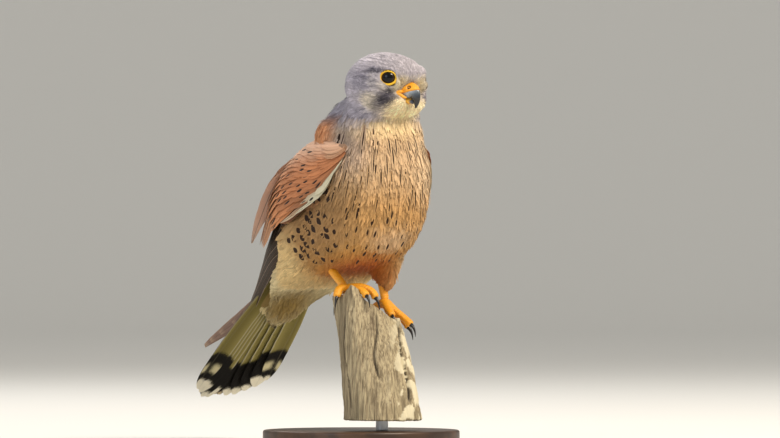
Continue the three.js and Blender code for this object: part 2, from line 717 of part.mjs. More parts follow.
// Materials
const COLOURS = {
  grey: { color: 0x9c98a4, roughness: 0.9 },
  rufous: { color: 0xb9774f, roughness: 0.9 },
  buff: { color: 0xd2a878, roughness: 0.9 },
  flight: { color: 0x3a322b, roughness: 0.7 },
  tail: { color: 0xb8b08c, roughness: 0.7 },
  skin: { color: 0xf0a020, roughness: 0.5 },
  bill: { color: 0x6f7886, roughness: 0.3 },
  claw: { color: 0x24242a, roughness: 0.3 },
  eye: { color: 0x15110d, roughness: 0.1 },
  wood: { color: 0xa8977a, roughness: 0.9 },
  base: { color: 0x4a3524, roughness: 0.5 },
  metal: { color: 0xb9babd, roughness: 0.35, metalness: 1 },
};

const kestrel = new THREE.Group();

function add(name, body, look) {
  const mesh = new THREE.Mesh(geometryOf(body), new THREE.MeshStandardMaterial(COLOURS[look]));
  mesh.name = name;
  kestrel.add(mesh);
  return mesh;
}

// Cuts

const headGrown = headSolid(GAP);
const bodyGrown = bodySolid(GAP);

// The body is parted into neck and torso by one thin cut across the spine
function neckCut() {
  const slab = new THREE.BoxGeometry(120, 120, GAP).rotateX(NECK_CUT_TILT);
  return solid(slab.translate(0, NECK_CUT.y, NECK_CUT.z));
}

function bodyParts() {
  const parts = bodySolid(0).subtract(neckCut()).decompose();
  parts.sort((a, b) => b.boundingBox().max[2] - a.boundingBox().max[2]);
  return { neck: parts[0], torso: parts[1] };
}

// Assembly

const { neck, torso } = bodyParts();
const SIDES = [['right', -1], ['left', 1]];

let head = headSolid(0);
for (const [, side] of SIDES) {
  head = head.add(lidSolid(-side)).subtract(eyeSolid(-side, GAP));
}
add('head', largest(head), 'grey');
add('neck', largest(neck.subtract(headGrown)), 'grey');
add('torso', largest(torso), 'buff');
const billParts = upperBillSolid(0).subtract(headGrown).subtract(cereCut()).decompose();
billParts.sort((a, b) => b.boundingBox().max[2] - a.boundingBox().max[2]);
let cere = billParts[0];
for (const [, side] of SIDES) {
  cere = cere.subtract(nostrilSolid(side));
}
add('cere', largest(cere), 'skin');
add('bill_upper', largest(billParts[1]), 'bill');
add('bill_lower', largest(lowerBillSolid(0).subtract(headGrown).subtract(upperBillSolid(GAP))), 'bill');
add('tail', largest(tailSolid(0).subtract(bodyGrown)), 'tail');

for (const [name, side] of SIDES) {
  add(`eye_${name}`, eyeSolid(-side, 0), 'eye');
  const wing = wingSolid(side, 0).subtract(bodyGrown);
  add(`wing_${name}`, largest(wing), 'rufous');
  let primaries = primariesSolid(side, 0).subtract(bodyGrown).subtract(tailCover());
  primaries = primaries.subtract(wingSolid(side, GAP));
  if (side > 0) {
    primaries = primaries.subtract(primariesSolid(-1, 4 * GAP));
  }
  add(`primaries_${name}`, largest(primaries), 'flight');
}

let perch = perchSolid();
for (const [name] of SIDES) {
  const leg = LEGS[name];
  const thigh = thighSolid(leg, 0).subtract(bodyGrown);
  add(`thigh_${name}`, largest(thigh), 'buff');
  const shank = scuteRow(shankSolid(leg, 0), leg.shank, SHANK_SCUTES);
  add(`tarsus_${name}`, largest(shank.subtract(bodyGrown).subtract(thighSolid(leg, GAP))), 'skin');
  let foot = footSolid(leg, 0);
  for (const toe of leg.toes) {
    foot = scuteRow(foot, toe.path, TOE_SCUTES);
  }
  add(`foot_${name}`, largest(foot.subtract(shankSolid(leg, 2 * GAP))), 'skin');
  perch = perch.subtract(footSolid(leg, 2 * GAP));
  for (const toe of leg.toes) {
    add(`claw_${toe.name}_${name}`, largest(clawSolid(toe, 0).subtract(toeSolid(toe, 1.5 * GAP))), 'claw');
    perch = perch.subtract(clawSolid(toe, 2 * GAP));
  }
}
add('perch', largest(perch), 'wood');
add('stand_rod', rodSolid(), 'metal');
add('stand_base', baseSolid(), 'base');

export default kestrel;
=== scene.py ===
import math
from functools import partial

import bpy
import numpy as np
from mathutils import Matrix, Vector, noise
from mathutils.bvhtree import BVHTree


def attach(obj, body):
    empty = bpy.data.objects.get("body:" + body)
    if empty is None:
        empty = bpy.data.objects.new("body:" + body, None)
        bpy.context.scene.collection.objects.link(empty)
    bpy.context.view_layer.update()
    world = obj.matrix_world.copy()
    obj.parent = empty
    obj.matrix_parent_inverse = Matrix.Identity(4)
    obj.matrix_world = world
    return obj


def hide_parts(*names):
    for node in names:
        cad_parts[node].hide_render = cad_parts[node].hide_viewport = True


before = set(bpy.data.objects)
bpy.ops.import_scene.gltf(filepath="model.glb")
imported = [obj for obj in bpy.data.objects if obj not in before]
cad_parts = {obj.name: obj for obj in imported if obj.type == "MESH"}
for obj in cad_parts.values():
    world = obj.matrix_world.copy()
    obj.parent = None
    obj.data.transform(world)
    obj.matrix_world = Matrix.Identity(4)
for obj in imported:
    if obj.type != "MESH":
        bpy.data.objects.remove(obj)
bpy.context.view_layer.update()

bl_info = {
    "name": "Perched kestrel",
    "version": (1, 0, 0),
    "blender": (4, 5, 0),
    "location": "3D View > Sidebar > Kestrel",
    "description": "Dresses the solids of a perched male common kestrel with skin, plumage and bare parts",
    "category": "Add Mesh",
}

# Shapes are worked out in millimetres, and the scene is in metres
MM = 0.001


# Numbers and colours

def linear(hex_colour):
    """Linear RGBA of an sRGB hex colour."""
    channels = [int(hex_colour[i:i + 2], 16) / 255 for i in (1, 3, 5)]
    return tuple(c / 12.92 if c <= 0.04045 else ((c + 0.055) / 1.055) ** 2.4 for c in channels) + (1.0,)


def darker(colour, share):
    return tuple(value * share for value in colour[:3]) + (1.0,)


def rgb(hex_colour):
    return np.array(linear(hex_colour)[:3])


def smoothstep(x, low, high):
    share = np.clip((np.asarray(x, float) - low) / (high - low), 0, 1)
    return share * share * (3 - 2 * share)


def along(values, t):
    """Value at t of a smooth curve through evenly spaced values, which may be numbers or points."""
    values = np.asarray(values, float)
    span = len(values) - 1
    place = np.clip(np.asarray(t, float), 0, 1) * span
    cell = np.minimum(place.astype(int), span - 1)
    f = place - cell
    if values.ndim > 1:
        f = f[..., None]
    a, b = values[np.maximum(cell - 1, 0)], values[cell]
    c, d = values[cell + 1], values[np.minimum(cell + 2, span)]
    square, cube = 2 * a - 5 * b + 4 * c - d, 3 * b - a - 3 * c + d
    return 0.5 * (2 * b + (c - a) * f + square * f ** 2 + cube * f ** 3)


def around(count):
    """Angles of points spaced evenly round a circle."""
    return np.linspace(0, 2 * math.pi, count, endpoint=False)


def noise_at(points):
    """Smooth noise from -1 to 1, with waves about one unit long."""
    return np.array([noise.noise(Vector(point)) for point in points.tolist()])


def unit(vectors):
    return vectors / np.maximum(np.linalg.norm(vectors, axis=-1, keepdims=True), 1e-9)


def dot(a, b):
    return (a * b).sum(-1, keepdims=True)


def rounded(t, start, end):
    """Rises round from nothing at t 0, is 1 in between and closes round at t 1."""
    head = np.where(t < start, np.sqrt(np.maximum(0, 1 - ((start - t) / start) ** 2)), 1)
    tail = np.where(t > 1 - end, np.sqrt(np.maximum(0, 1 - ((t - 1 + end) / end) ** 2)), 1)
    return head * tail


# Proportions of the bird, in the frame's millimetres. The bird faces -Y and its right side is -X

SPINE_Y = (-22, -22, -21, -19, -16, -8, 6, 24, 48, 70, 94, 120)
SPINE_Z = (234, 222, 209, 193, 174, 155, 136, 121, 111, 102, 90, 76)
HEAD_CENTRE = np.array((0, -32, 233.5))
HEAD_TURN = math.radians(195)
HEAD_RIGHT = np.array((math.cos(HEAD_TURN), math.sin(HEAD_TURN), 0))
HEAD_AHEAD = np.array((-math.sin(HEAD_TURN), math.cos(HEAD_TURN), 0))
UP = np.array((0.0, 0.0, 1.0))
EYE_CENTRE = np.array((12.8, 15.7, 4.4))
EYE_RADIUS = 6.8
EYE_OUTWARD = math.radians(38)
FLESH = ("head", "neck", "torso", "thigh_right", "thigh_left")
# Solids grow by this much before they are fused, so that the gaps between them close
FLESH_GAP = 0.35
# Edges of the small cubes that meshes are made from
SKIN_VOXEL = 1.3
PERCH_VOXEL = 0.8


def to_head(points):
    """Right, ahead and up of points in the head's own frame."""
    away = np.asarray(points) - HEAD_CENTRE
    return np.stack([away @ HEAD_RIGHT, away @ HEAD_AHEAD, away[..., 2]], -1)


def from_head(points):
    points = np.asarray(points, float)
    return (HEAD_CENTRE + points[..., :1] * HEAD_RIGHT + points[..., 1:2] * HEAD_AHEAD
            + points[..., 2:3] * UP)


SPINE_SHARES = np.linspace(0, 1, 200)
SPINE_LINE = np.stack([along(SPINE_Y, SPINE_SHARES), along(SPINE_Z, SPINE_SHARES)], -1)
SPINE_AHEAD = unit(np.gradient(SPINE_LINE, axis=0))


def body_place(points):
    """Share along the spine and turn round it, 0 at the left side and a quarter turn at the back."""
    flat = np.asarray(points)[:, 1:]
    nearest = np.argmin(((flat[:, None] - SPINE_LINE[None, ::2]) ** 2).sum(-1), axis=1) * 2
    ahead = SPINE_AHEAD[nearest]
    back = np.stack([-ahead[:, 1], ahead[:, 0]], -1)
    rise = ((flat - SPINE_LINE[nearest]) * back).sum(-1)
    return SPINE_SHARES[nearest], np.arctan2(rise, points[:, 0]), ahead


# Meshes

def new_object(name, mesh, material):
    mesh.polygons.foreach_set("use_smooth", np.ones(len(mesh.polygons), bool))
    mesh.materials.append(material)
    piece = bpy.data.objects.new(name, mesh)
    bpy.context.scene.collection.objects.link(piece)
    return piece


def mesh_from(name, points, faces):
    """A mesh of points in millimetres and of faces that all have the same number of corners."""
    faces = np.asarray(faces, np.int32)
    mesh = bpy.data.meshes.new(name)
    mesh.vertices.add(len(points))
    mesh.vertices.foreach_set("co", (np.asarray(points) * MM).astype(np.float32).ravel())
    mesh.loops.add(faces.size)
    mesh.loops.foreach_set("vertex_index", faces.ravel())
    mesh.polygons.add(len(faces))
    mesh.polygons.foreach_set("loop_start", np.arange(0, faces.size, faces.shape[1], dtype=np.int32))
    mesh.update(calc_edges=True)
    return mesh


def with_alpha(colour):
    return np.concatenate([np.clip(colour, 0, 1), np.ones((len(colour), 1))], 1)


def paint(mesh, name, values):
    """Stores one number, vector or colour for each vertex."""
    values = np.asarray(values, np.float32)
    width = 1 if values.ndim == 1 else values.shape[1]
    kind, field = {1: ("FLOAT", "value"), 3: ("FLOAT_VECTOR", "vector"), 4: ("FLOAT_COLOR", "color")}[width]
    layer = mesh.attributes.new(name, kind, "POINT")
    layer.data.foreach_set(field, values.ravel())


def read(data, field, width=3, kind=np.float32):
    """One row for each item of Blender's own data."""
    values = np.empty(len(data) * width, kind)
    data.foreach_get(field, values)
    return values.reshape(-1, width)


def unwrap(mesh, places):
    """Writes the map OFBake from one place for each vertex."""
    corners = read(mesh.loops, "vertex_index", 1, np.int32).ravel()
    layer = mesh.uv_layers.new(name="OFBake")
    layer.data.foreach_set("uv", places[corners].astype(np.float32).ravel())


def shell_values(values):
    """Rows of values round an axis, in the order of a shell's vertices."""
    return np.concatenate([values[0, :1], values[1:-1].reshape((-1,) + values.shape[2:]), values[-1, :1]])


def shell(name, points, material):
    """A closed surface from rows of points round an axis, whose first and last rows are single points."""
    rows, columns = points.shape[:2]
    vertices = shell_values(points)
    last = len(vertices) - 1

    def ring(row, k):
        return 1 + (row - 1) * columns + k % columns

    faces = []
    for k in range(columns):
        faces.append((0, ring(1, k), ring(1, k + 1)))
        faces.append((last, ring(rows - 2, k + 1), ring(rows - 2, k)))
        for row in range(1, rows - 2):
            faces.append((ring(row, k), ring(row + 1, k), ring(row + 1, k + 1), ring(row, k + 1)))
    mesh = bpy.data.meshes.new(name)
    mesh.from_pydata([tuple(p) for p in vertices * MM], [], faces)
    mesh.update()
    return new_object(name, mesh, material)


def join(name, pieces):
    """Joins pieces into the first one, which takes the name."""
    first = pieces[0]
    if len(pieces) > 1:
        with bpy.context.temp_override(active_object=first, selected_editable_objects=pieces):
            bpy.ops.object.join()
    first.name = name
    first.data.name = name
    return first


def dress(piece, material):
    """The piece wears this material alone, shaded smooth."""
    piece.data.materials.clear()
    piece.data.materials.append(material)
    piece.data.polygons.foreach_set("use_smooth", np.ones(len(piece.data.polygons), bool))


def settle(piece, slot, *nodes):
    """The piece moves with the bird and stands for the solids named. The slot is not used."""
    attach(piece, "root")
    if nodes:
        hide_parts(*nodes)
    return piece


# Materials

# Kinds of nodes that are used often, by what they do, with the settings that make them do it
KINDS = {name: ("Math", {"operation": name}) for name in (
    "ADD", "SUBTRACT", "MULTIPLY", "DIVIDE", "POWER", "MAXIMUM", "ABSOLUTE", "SINE")}
KINDS["BLEND"] = ("Mix", {"data_type": "RGBA"})
KINDS["SHADE"] = ("Mix", {"data_type": "RGBA", "blend_type": "MULTIPLY"})
KINDS["STEP"] = ("MapRange", {"interpolation_type": "SMOOTHSTEP"})


def node(tree, kind, *values, output=None, **named):
    """Adds a node and returns its output of a name, or else the first one in use. Values and sockets go
    to its inputs in order, or by name where the name has a capital. Names in small letters are settings."""
    kind, settings = KINDS.get(kind, (kind, {}))
    made = tree.nodes.new("ShaderNode" + kind)
    for key, value in {**settings, **{key: named[key] for key in named if key[0].islower()}}.items():
        setattr(made, key, value)
    inputs = list(zip([socket for socket in made.inputs if socket.enabled], values))
    inputs += [(made.inputs[key.replace("_", " ")], named[key]) for key in named if key[0].isupper()]
    for socket, value in inputs:
        if isinstance(value, bpy.types.NodeSocket):
            tree.links.new(value, socket)
        else:
            socket.default_value = value
    return made.outputs[output] if output else next((s for s in made.outputs if s.enabled), None)


def new_material(name):
    """An empty material and the function that adds nodes to it."""
    material = bpy.data.materials.new(name)
    material.use_nodes = True
    material.node_tree.nodes.clear()
    return material, partial(node, material.node_tree)


def finished(material, add, relief=None, **inputs):
    """The material with its surface. Relief is a strength, a depth in metres and the height to follow."""
    if relief:
        strength, depth, height = relief
        inputs["Normal"] = add("Bump", Strength=strength, Distance=depth, Height=height)
    add("OutputMaterial", add("BsdfPrincipled", **inputs))
    return material


def shaded(add, colour, shade):
    """A colour made lighter or darker by a number."""
    return add("SHADE", 1.0, colour, add("CombineColor", shade, shade, shade))


def barbs(add, number, slant, sway=0.0):
    """Places across and along a vane, its sort, and a wave that follows its slanted barbs."""
    place = add("SeparateXYZ", add("Attribute", attribute_name="place", output="Vector")).node.outputs
    across = add("ABSOLUTE", place[0])
    way = add("ADD", add("MULTIPLY", place[1], number), add("MULTIPLY", across, -slant))
    turn = add("MULTIPLY", way, 2 * math.pi)
    if sway:
        turn = add("ADD", turn, add("MULTIPLY", place[2], sway))
    return across, place[1], place[2], add("SINE", turn)


# Barbs are 0.1 mm apart on a real vane. They are drawn 0.3 to 0.8 mm apart so that they show, and raised
# by this depth in metres
BARBS_ALONG = 34.0
BARBS_ASLANT = 9.0
BARB_DEPTH = 0.0001


def feather_material(name, mark_colour, roughness, root_shade=0.26):
    """Keratin vanes: soft, matt, with fine slanted barbs that catch the light, and a mark at the tip."""
    material, add = new_material(name)
    across, share, sort, wave = barbs(add, BARBS_ALONG, BARBS_ASLANT, 30.0)
    size = add("SeparateXYZ", add("Attribute", attribute_name="mark", output="Vector")).node.outputs
    shade = add("ADD", 0.97, add("MULTIPLY", wave, 0.05))
    shade = add("ADD", shade, add("MULTIPLY", add("SUBTRACT", sort, 0.5), 0.14))
    # Each vane is darker towards its root, under the feathers that overlap it: painted shade
    shade = add("MULTIPLY", shade, add("ADD", 1.04 - root_shade, add("MULTIPLY", share, root_shade)))
    base = shaded(add, add("Attribute", attribute_name="tint"), shade)
    # The mark runs from one share of the length to another, widest near its end
    width, start, end = size
    length = add("MAXIMUM", add("SUBTRACT", end, start), 0.01)
    run = add("Clamp", add("DIVIDE", add("SUBTRACT", share, start), length))
    swell = add("MULTIPLY", add("POWER", run, 0.7), add("POWER", add("SUBTRACT", 1.0, run), 0.35))
    reach = add("MULTIPLY", add("MULTIPLY", swell, 1.8), width)
    mask = add("STEP", add("SUBTRACT", reach, across), -0.03, 0.06)
    return finished(material, add, (0.5, BARB_DEPTH, wave), Base_Color=add("BLEND", mask, base, mark_colour),
                    Roughness=roughness, Sheen_Weight=0.06, Sheen_Roughness=0.6, Specular_IOR_Level=0.12)


# Vanes

def vane_layout(rows, across):
    """Faces of one vane as an upper and a lower sheet that share their rim, and the upper vertices that
    have one of the lower sheet under them."""
    top = np.arange(rows * across).reshape(rows, across)
    under = top.copy()
    under[1:-1, 1:-1] = rows * across + np.arange((rows - 2) * (across - 2)).reshape(rows - 2, across - 2)

    def quads(sheet):
        return np.stack([sheet[:-1, :-1], sheet[:-1, 1:], sheet[1:, 1:], sheet[1:, :-1]], -1).reshape(-1, 4)

    return np.concatenate([quads(top), quads(under)[:, ::-1]]), top[1:-1, 1:-1].ravel()


# Share of the map that each vane takes
VANE_PATCH = 0.003
# Share of the greatest width from root to tip
BODY_VANE = (0.45, 1.0, 0.95, 0.25)
FLIGHT_VANE = (0.35, 0.7, 0.92, 1.0, 1.0, 0.95, 0.84, 0.5, 0.1)
COVERT_STATIONS = (-1, -0.66, -0.33, 0, 0.33, 0.66, 1)
FLIGHT_STATIONS = (-1, -0.75, -0.45, -0.15, 0, 0.15, 0.45, 0.75, 1)


def vane_mesh(name, centre, side, up, left, right, stations, material, values, roots, rng, ragged,
              thick=0.16, camber=0.12):
    """Joins many vanes into one piece. centre, side and up hold rows of points or directions for each
    vane, left and right the half widths of each row, and stations the places across, from -1 to 1."""
    count, rows = centre.shape[:2]
    stations = np.asarray(stations, float)
    across = len(stations)
    reach = np.where(stations < 0, left[..., None], right[..., None]) * stations
    reach = reach * (1 + ragged * rng.uniform(-1, 0.6, reach.shape) * (np.abs(stations) > 0.9))
    rise = -camber * np.maximum(left, right)[..., None] * stations ** 2
    top = centre[:, :, None] + side[:, :, None] * reach[..., None] + up[:, :, None] * rise[..., None]
    ahead = np.gradient(centre, axis=1)[:, -1:, None]
    top[:, -1:] += ahead * rng.uniform(-0.45, 0.45, (count, 1, across, 1)) * ragged * 2
    faces, inner = vane_layout(rows, across)
    flat = top.reshape(count, -1, 3)
    lower = flat[:, inner] - np.repeat(up, across, axis=1)[:, inner] * thick
    points = np.concatenate([flat, lower], 1)
    size = points.shape[1]
    mesh = mesh_from(name, points.reshape(-1, 3),
                     (faces[None] + (np.arange(count) * size)[:, None, None]).reshape(-1, 4))
    place = np.empty((count, rows, across, 3))
    place[..., 0] = stations
    place[..., 1] = np.linspace(0, 1, rows)[:, None]
    place[..., 2] = rng.random(count)[:, None, None]
    place = place.reshape(count, -1, 3)
    place = np.concatenate([place, place[:, inner]], 1)
    paint(mesh, "place", place.reshape(-1, 3))
    is_under = np.zeros((count, size))
    is_under[:, rows * across:] = 1
    paint(mesh, "underside", is_under.ravel())
    for key, value in values.items():
        spread = np.repeat(value[:, None], size, axis=1).reshape(count * size, -1)
        paint(mesh, key, spread[:, 0] if value.ndim == 1 else spread)
    patch = roots[:, None] + (place[..., :2] * (0.5, 1.0) + (0.5, 0.0)) * VANE_PATCH
    unwrap(mesh, patch.reshape(-1, 2))
    mesh.set_sharp_from_angle(angle=math.radians(100))
    return new_object(name, mesh, material)


# Skin

def fused(name, nodes, inflate, voxel, smoothing, inset):
    """One closed surface round some solids: their gaps closed, facets smoothed and set in by a depth,
    which is a function of the points."""
    pieces = []
    for key in nodes:
        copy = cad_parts[key].data.copy()
        grown = read(copy.vertices, "co") + read(copy.vertices, "normal") * inflate * MM
        copy.vertices.foreach_set("co", grown.ravel())
        copy.materials.clear()
        pieces.append(bpy.data.objects.new(key + "_copy", copy))
        bpy.context.scene.collection.objects.link(pieces[-1])
    whole = join(name, pieces)
    remesh = whole.modifiers.new("even", "REMESH")
    remesh.mode = "VOXEL"
    remesh.voxel_size = voxel * MM
    smooth = whole.modifiers.new("smooth", "SMOOTH")
    smooth.iterations = smoothing
    smooth.factor = 0.5
    made = bpy.data.meshes.new_from_object(whole.evaluated_get(bpy.context.evaluated_depsgraph_get()))
    whole.modifiers.clear()
    whole.data = made
    points = read(made.vertices, "co")
    moved = points - read(made.vertices, "normal") * (inset(points / MM)[:, None] * MM)
    made.vertices.foreach_set("co", moved.astype(np.float32).ravel())
    made.update()
    return whole


def points_of(mesh):
    return read(mesh.vertices, "co").astype(float) / MM


def triangles_of(mesh):
    mesh.calc_loop_triangles()
    return read(mesh.loop_triangles, "vertices", 3, np.int32)


def skin_places(points):
    """A map of the skin's own shape: the head as a disc seen from its crown round to its chin in one
    corner, and the body unrolled along its spine in the rest."""
    share, turn, _ = body_place(points)
    head = to_head(points)
    on_head = head_share(points) > 0.5
    direction = unit(head)
    ring = np.arccos(np.clip(direction[:, 1], -1, 1)) / math.pi
    round_ = np.arctan2(direction[:, 2], direction[:, 0])
    disc = np.stack([0.16 + 0.15 * ring * np.cos(round_), 0.16 + 0.15 * ring * np.sin(round_)], -1)
    rolled = np.stack([0.02 + 0.96 * (turn / (2 * math.pi) + 0.5), 0.34 + 0.64 * share], -1)
    return np.where(on_head[:, None], disc, rolled)


def head_share(points):
    """1 on the head, 0 on the body, in between on the neck."""
    points = np.asarray(points)
    return smoothstep(points[..., 2] + 0.25 * (points[..., 1] + 32) * -1, 208, 222)


BILL_BASE = from_head((0, 24, -5))


def lie_of(points, normals):
    """The way feathers lie: back from the bill over the head, and along the spine on the body."""
    _, _, ahead = body_place(points)
    down = np.stack([np.zeros(len(points)), ahead[:, 0], ahead[:, 1]], -1)
    from_bill = unit(points - BILL_BASE)
    share = (head_share(points) * smoothstep(to_head(points)[:, 1], -24, -6))[:, None]
    way = from_bill * share + down * (1 - share)
    return unit(way - normals * dot(way, normals))


class Skin:
    """The fused skin with what is needed to set feathers on it."""

    def __init__(self, piece):
        mesh = piece.data
        self.points = points_of(mesh)
        self.corners = triangles_of(mesh)
        self.tree = BVHTree.FromPolygons(self.points.tolist(), self.corners.tolist())
        a, b, c = (self.points[self.corners[:, k]] for k in range(3))
        cross = np.cross(b - a, c - a)
        self.area = np.linalg.norm(cross, axis=1) / 2
        self.face_normal = unit(cross)
        self.middle = (a + b + c) / 3

    def scatter(self, weight, count, rng):
        """Random roots on the skin, as dense as the weight of each triangle says."""
        chance = self.area * weight
        chosen = rng.choice(len(chance), count, p=chance / chance.sum())
        u, v = rng.random(count), rng.random(count)
        over = u + v > 1
        u[over], v[over] = 1 - u[over], 1 - v[over]
        a, b, c = (self.points[self.corners[chosen, k]] for k in range(3))
        return a + u[:, None] * (b - a) + v[:, None] * (c - a), self.face_normal[chosen]

    def nearest(self, points):
        found = [self.tree.find_nearest(Vector(p)) for p in points.tolist()]
        return np.array([f[0][:] for f in found]), np.array([f[1][:] for f in found])


def grow(skin, roots, normals, length, lift, rows, sway, rng, bow=0.9):
    """Paths of vanes that start at roots and follow the lie over the skin, rising to lift at the tip. A
    smaller bow makes them rise sooner."""
    centre, side, up = [], [], []
    point, normal = roots, normals
    turn = rng.normal(0, sway, len(roots))
    for row in range(rows):
        way = lie_of(point, normal)
        across = np.cross(way, normal)
        way = unit(way * np.cos(turn)[:, None] + across * np.sin(turn)[:, None])
        across = np.cross(way, normal)
        share = row / (rows - 1)
        height = -0.3 + (lift + 0.3) * share ** bow
        centre.append(point + normal * height[:, None])
        side.append(across)
        up.append(normal)
        if row < rows - 1:
            point, normal = skin.nearest(point + way * (length / (rows - 1))[:, None])
    return np.stack(centre, 1), np.stack(side, 1), np.stack(up, 1)


# Markings

def spot(points, centre, radius, edge):
    """1 inside a patch round a centre, falling softly to 0 outside it."""
    away = np.linalg.norm((np.asarray(points) - np.array(centre)) / np.array(radius), axis=-1)
    return 1 - smoothstep(away, 1 - edge, 1 + edge)


def layered(base, count, layers):
    """A colour for each of some points: a base under layers, each a share for each point and a colour."""
    colour = np.tile(rgb(base), (count, 1))
    for share, over in layers:
        colour = colour * (1 - share[:, None]) + rgb(over) * share[:, None]
    return colour


# Patches of the face in the head's own frame: colour, centre, radii, softness and strength
FACE = {
    "ear": ("#8F8B97", (22, 2, 3), (9, 10, 9), 0.6, 0.7),
    "cheek": ("#DCD0B8", (21.5, 8, -11), (8.5, 8.5, 6), 0.6, 0.8),
    "behind the eye": ("#CFC8BC", (19, 9, 2), (4, 5, 6), 0.6, 0.5),
    "under the eye": ("#CFC4AE", (17, 18, -1), (7, 7, 4.5), 0.6, 0.5),
    "between eye and bill": ("#E9D9B4", (9, 24, -1), (7, 6, 6.5), 0.5, 0.9),
    "throat": ("#FFEABA", (0, 20, -18), (17, 14, 9), 0.5, 1.0),
    "side of the throat": ("#FFEBC0", (9, 20, -13), (9, 8, 5), 0.5, 0.9),
    "dark stripe under the eye": ("#35323D", (17.8, 16.8, -9.2), (5.6, 6.6, 4.4), 0.55, 0.95),
    "its upper end": ("#4A4755", (17.2, 17.4, -4.8), (3.4, 3.6, 3.2), 0.7, 0.6),
    "its lower end": ("#4C4855", (20.5, 11.5, -13.4), (4.5, 5.4, 4.4), 0.7, 0.65),
    "line behind the gape": ("#5A5662", (12.6, 20.6, -7.4), (4.2, 3.6, 1.6), 0.6, 0.65),
    # Painted shadow under the brow ridge, over the eye and back towards the ear
    "painted shadow over the eye": ("#494653", (19, 11, 9.4), (6, 9.5, 1.5), 0.7, 0.9),
    "end of the painted shadow, over the ear": ("#6E6B7A", (21.5, 3.5, 5), (5, 5, 2.2), 0.6, 0.6),
    "forehead": ("#D4CCBE", (0, 28, 3), (6, 4, 3.5), 0.6, 0.6),
    "front of the crown": ("#CFC8CE", (6, 22, 13), (13, 9, 6), 0.7, 0.55),
}
# Patches darker than this are stripes; the painted shadow under the brow counts as one
STRIPE_SHADE = 0.12
# How far the turned head moves its dark stripes on its far side, and how ragged patches end
STRIPE_SHIFT = 3.5
RAGGED_SEED = 5
RAGGED_EDGE = 0.7


def head_colour(points):
    head = to_head(points)
    far = smoothstep(-head[:, 0], 4, 10)
    stripe = far * smoothstep(head[:, 2], 2, -4)
    plain = 1 - far * smoothstep(head[:, 1], 6, 12) * smoothstep(head[:, 2], 5, 8)
    head[:, 0] = np.abs(head[:, 0])
    # The turned head shows less of the dark stripes on its far side
    head[:, 1] += STRIPE_SHIFT * stripe
    # Patches end ragged, feather by feather
    ragged = np.random.default_rng(RAGGED_SEED).normal(0, RAGGED_EDGE, head.shape)
    head += ragged + strands(points)[:, None] * (0, 1.2, 0.6)
    layers = [(smoothstep(head[:, 2], 5, 20) * 0.42, "#C9C2C8")]
    for over, centre, radius, edge, strength in FACE.values():
        shown = plain if rgb(over)[1] < STRIPE_SHADE else 1.0
        layers.append((spot(head, centre, radius, edge) * strength * shown, over))
    return layered("#B4AEB8", len(points), layers)


def body_colour(points):
    """Colour of the body's feathers: grey nape, rufous mantle, buff breast, rusty and cream belly."""
    share, turn, _ = body_place(points)
    x, y, z = np.abs(points[:, 0]), points[:, 1], points[:, 2]
    back = smoothstep(np.sin(turn), -0.05, 0.45) * (1 - smoothstep(x, 16, 25) * smoothstep(z, 162, 150))
    near = np.where(points[:, 0] < 0, 0.75, 0.25)
    rump = smoothstep(share, 0.72, 0.8)
    return layered("#D3B189", len(points), (
        # Breast and belly, from below the throat down, warmer and darker lower down: partly their own tone,
        # partly painted shade on the underside
        (smoothstep(z, 184, 150) * (1 - back), "#C3965F"),
        (smoothstep(z, 138, 122) * (1 - back), "#BA8948"),
        (smoothstep(z, 195, 208) * (1 - back), "#F0D3A0"),
        # Sides of the breast, greyer on the right, and flanks, darker partly in their own tone and partly as
        # painted shade under the wing
        (smoothstep(x, 14, 30) * smoothstep(z, 165, 197) * near, "#9C8C86"),
        (smoothstep(x, 20, 34) * smoothstep(z, 185, 160) * (1 - back) * 0.6, "#8F6E48"),
        (smoothstep(points[:, 0], 2, 22) * smoothstep(z, 150, 175) * (1 - back) * 0.7, "#E6C8A2"),
        (smoothstep(y, 12, 34) * smoothstep(z, 150, 118), "#D9BC84"),
        # Mantle, nape and sides of the neck
        (back * smoothstep(z, 120, 140), "#DA9868"),
        (back * smoothstep(z, 207, 217), "#A39EAA"),
        ((1 - back) * smoothstep(z, 203, 214) * smoothstep(x, 6, 20), "#A19BA6"),
        # Left thigh, rusty belly and the pale patch over it
        (spot(points, (27, -2, 108), (14, 20, 20), 0.7) * 0.8, "#D2B280"),
        (spot(points, (-2, -8, 113), (20, 25, 13.5), 0.8) * 0.9, "#A64E08"),
        (spot(points, (2, -38, 133), (15, 10, 10), 0.7) * 0.7, "#D6B48E"),
        # Vent, with a dark olive patch of painted shade under the body at the root of the tail, and rump
        (rump * (1 - back), "#D2C194"),
        (spot(points, (-4, 84, 86), (19, 24, 18), 0.7) * 0.9, "#7C5F14"),
        (back * rump * smoothstep(z - along(SPINE_Z, share), 3, 9), "#A9A7B0"),
    ))


def coat_colour(points):
    share = head_share(points)[:, None]
    return head_colour(points) * share + body_colour(points) * (1 - share)


# Feathers stick together in strands, about 1.4 mm wide on the head and 2.5 mm on the body
HEAD_STRANDS = (13.0, 0.22)
BODY_STRANDS = (17.0, 26.0)


def strands(points):
    """Waves from -1 to 1 that run along the lie of the feathers and change quickly across it."""
    head = to_head(points) - (0, 24, -5)
    share, turn, _ = body_place(points)
    on_head = head_share(points) > 0.5
    ring = np.arctan2(head[:, 0], head[:, 2]) * HEAD_STRANDS[0]
    far = np.linalg.norm(head, axis=1) * HEAD_STRANDS[1]
    u = np.where(on_head, ring, turn * BODY_STRANDS[0])
    v = np.where(on_head, far, share * BODY_STRANDS[1])
    return np.clip(1.8 * noise_at(np.stack([u, v, np.full(len(u), 3.0)], -1)), -1, 1)


# Settings that a user would change

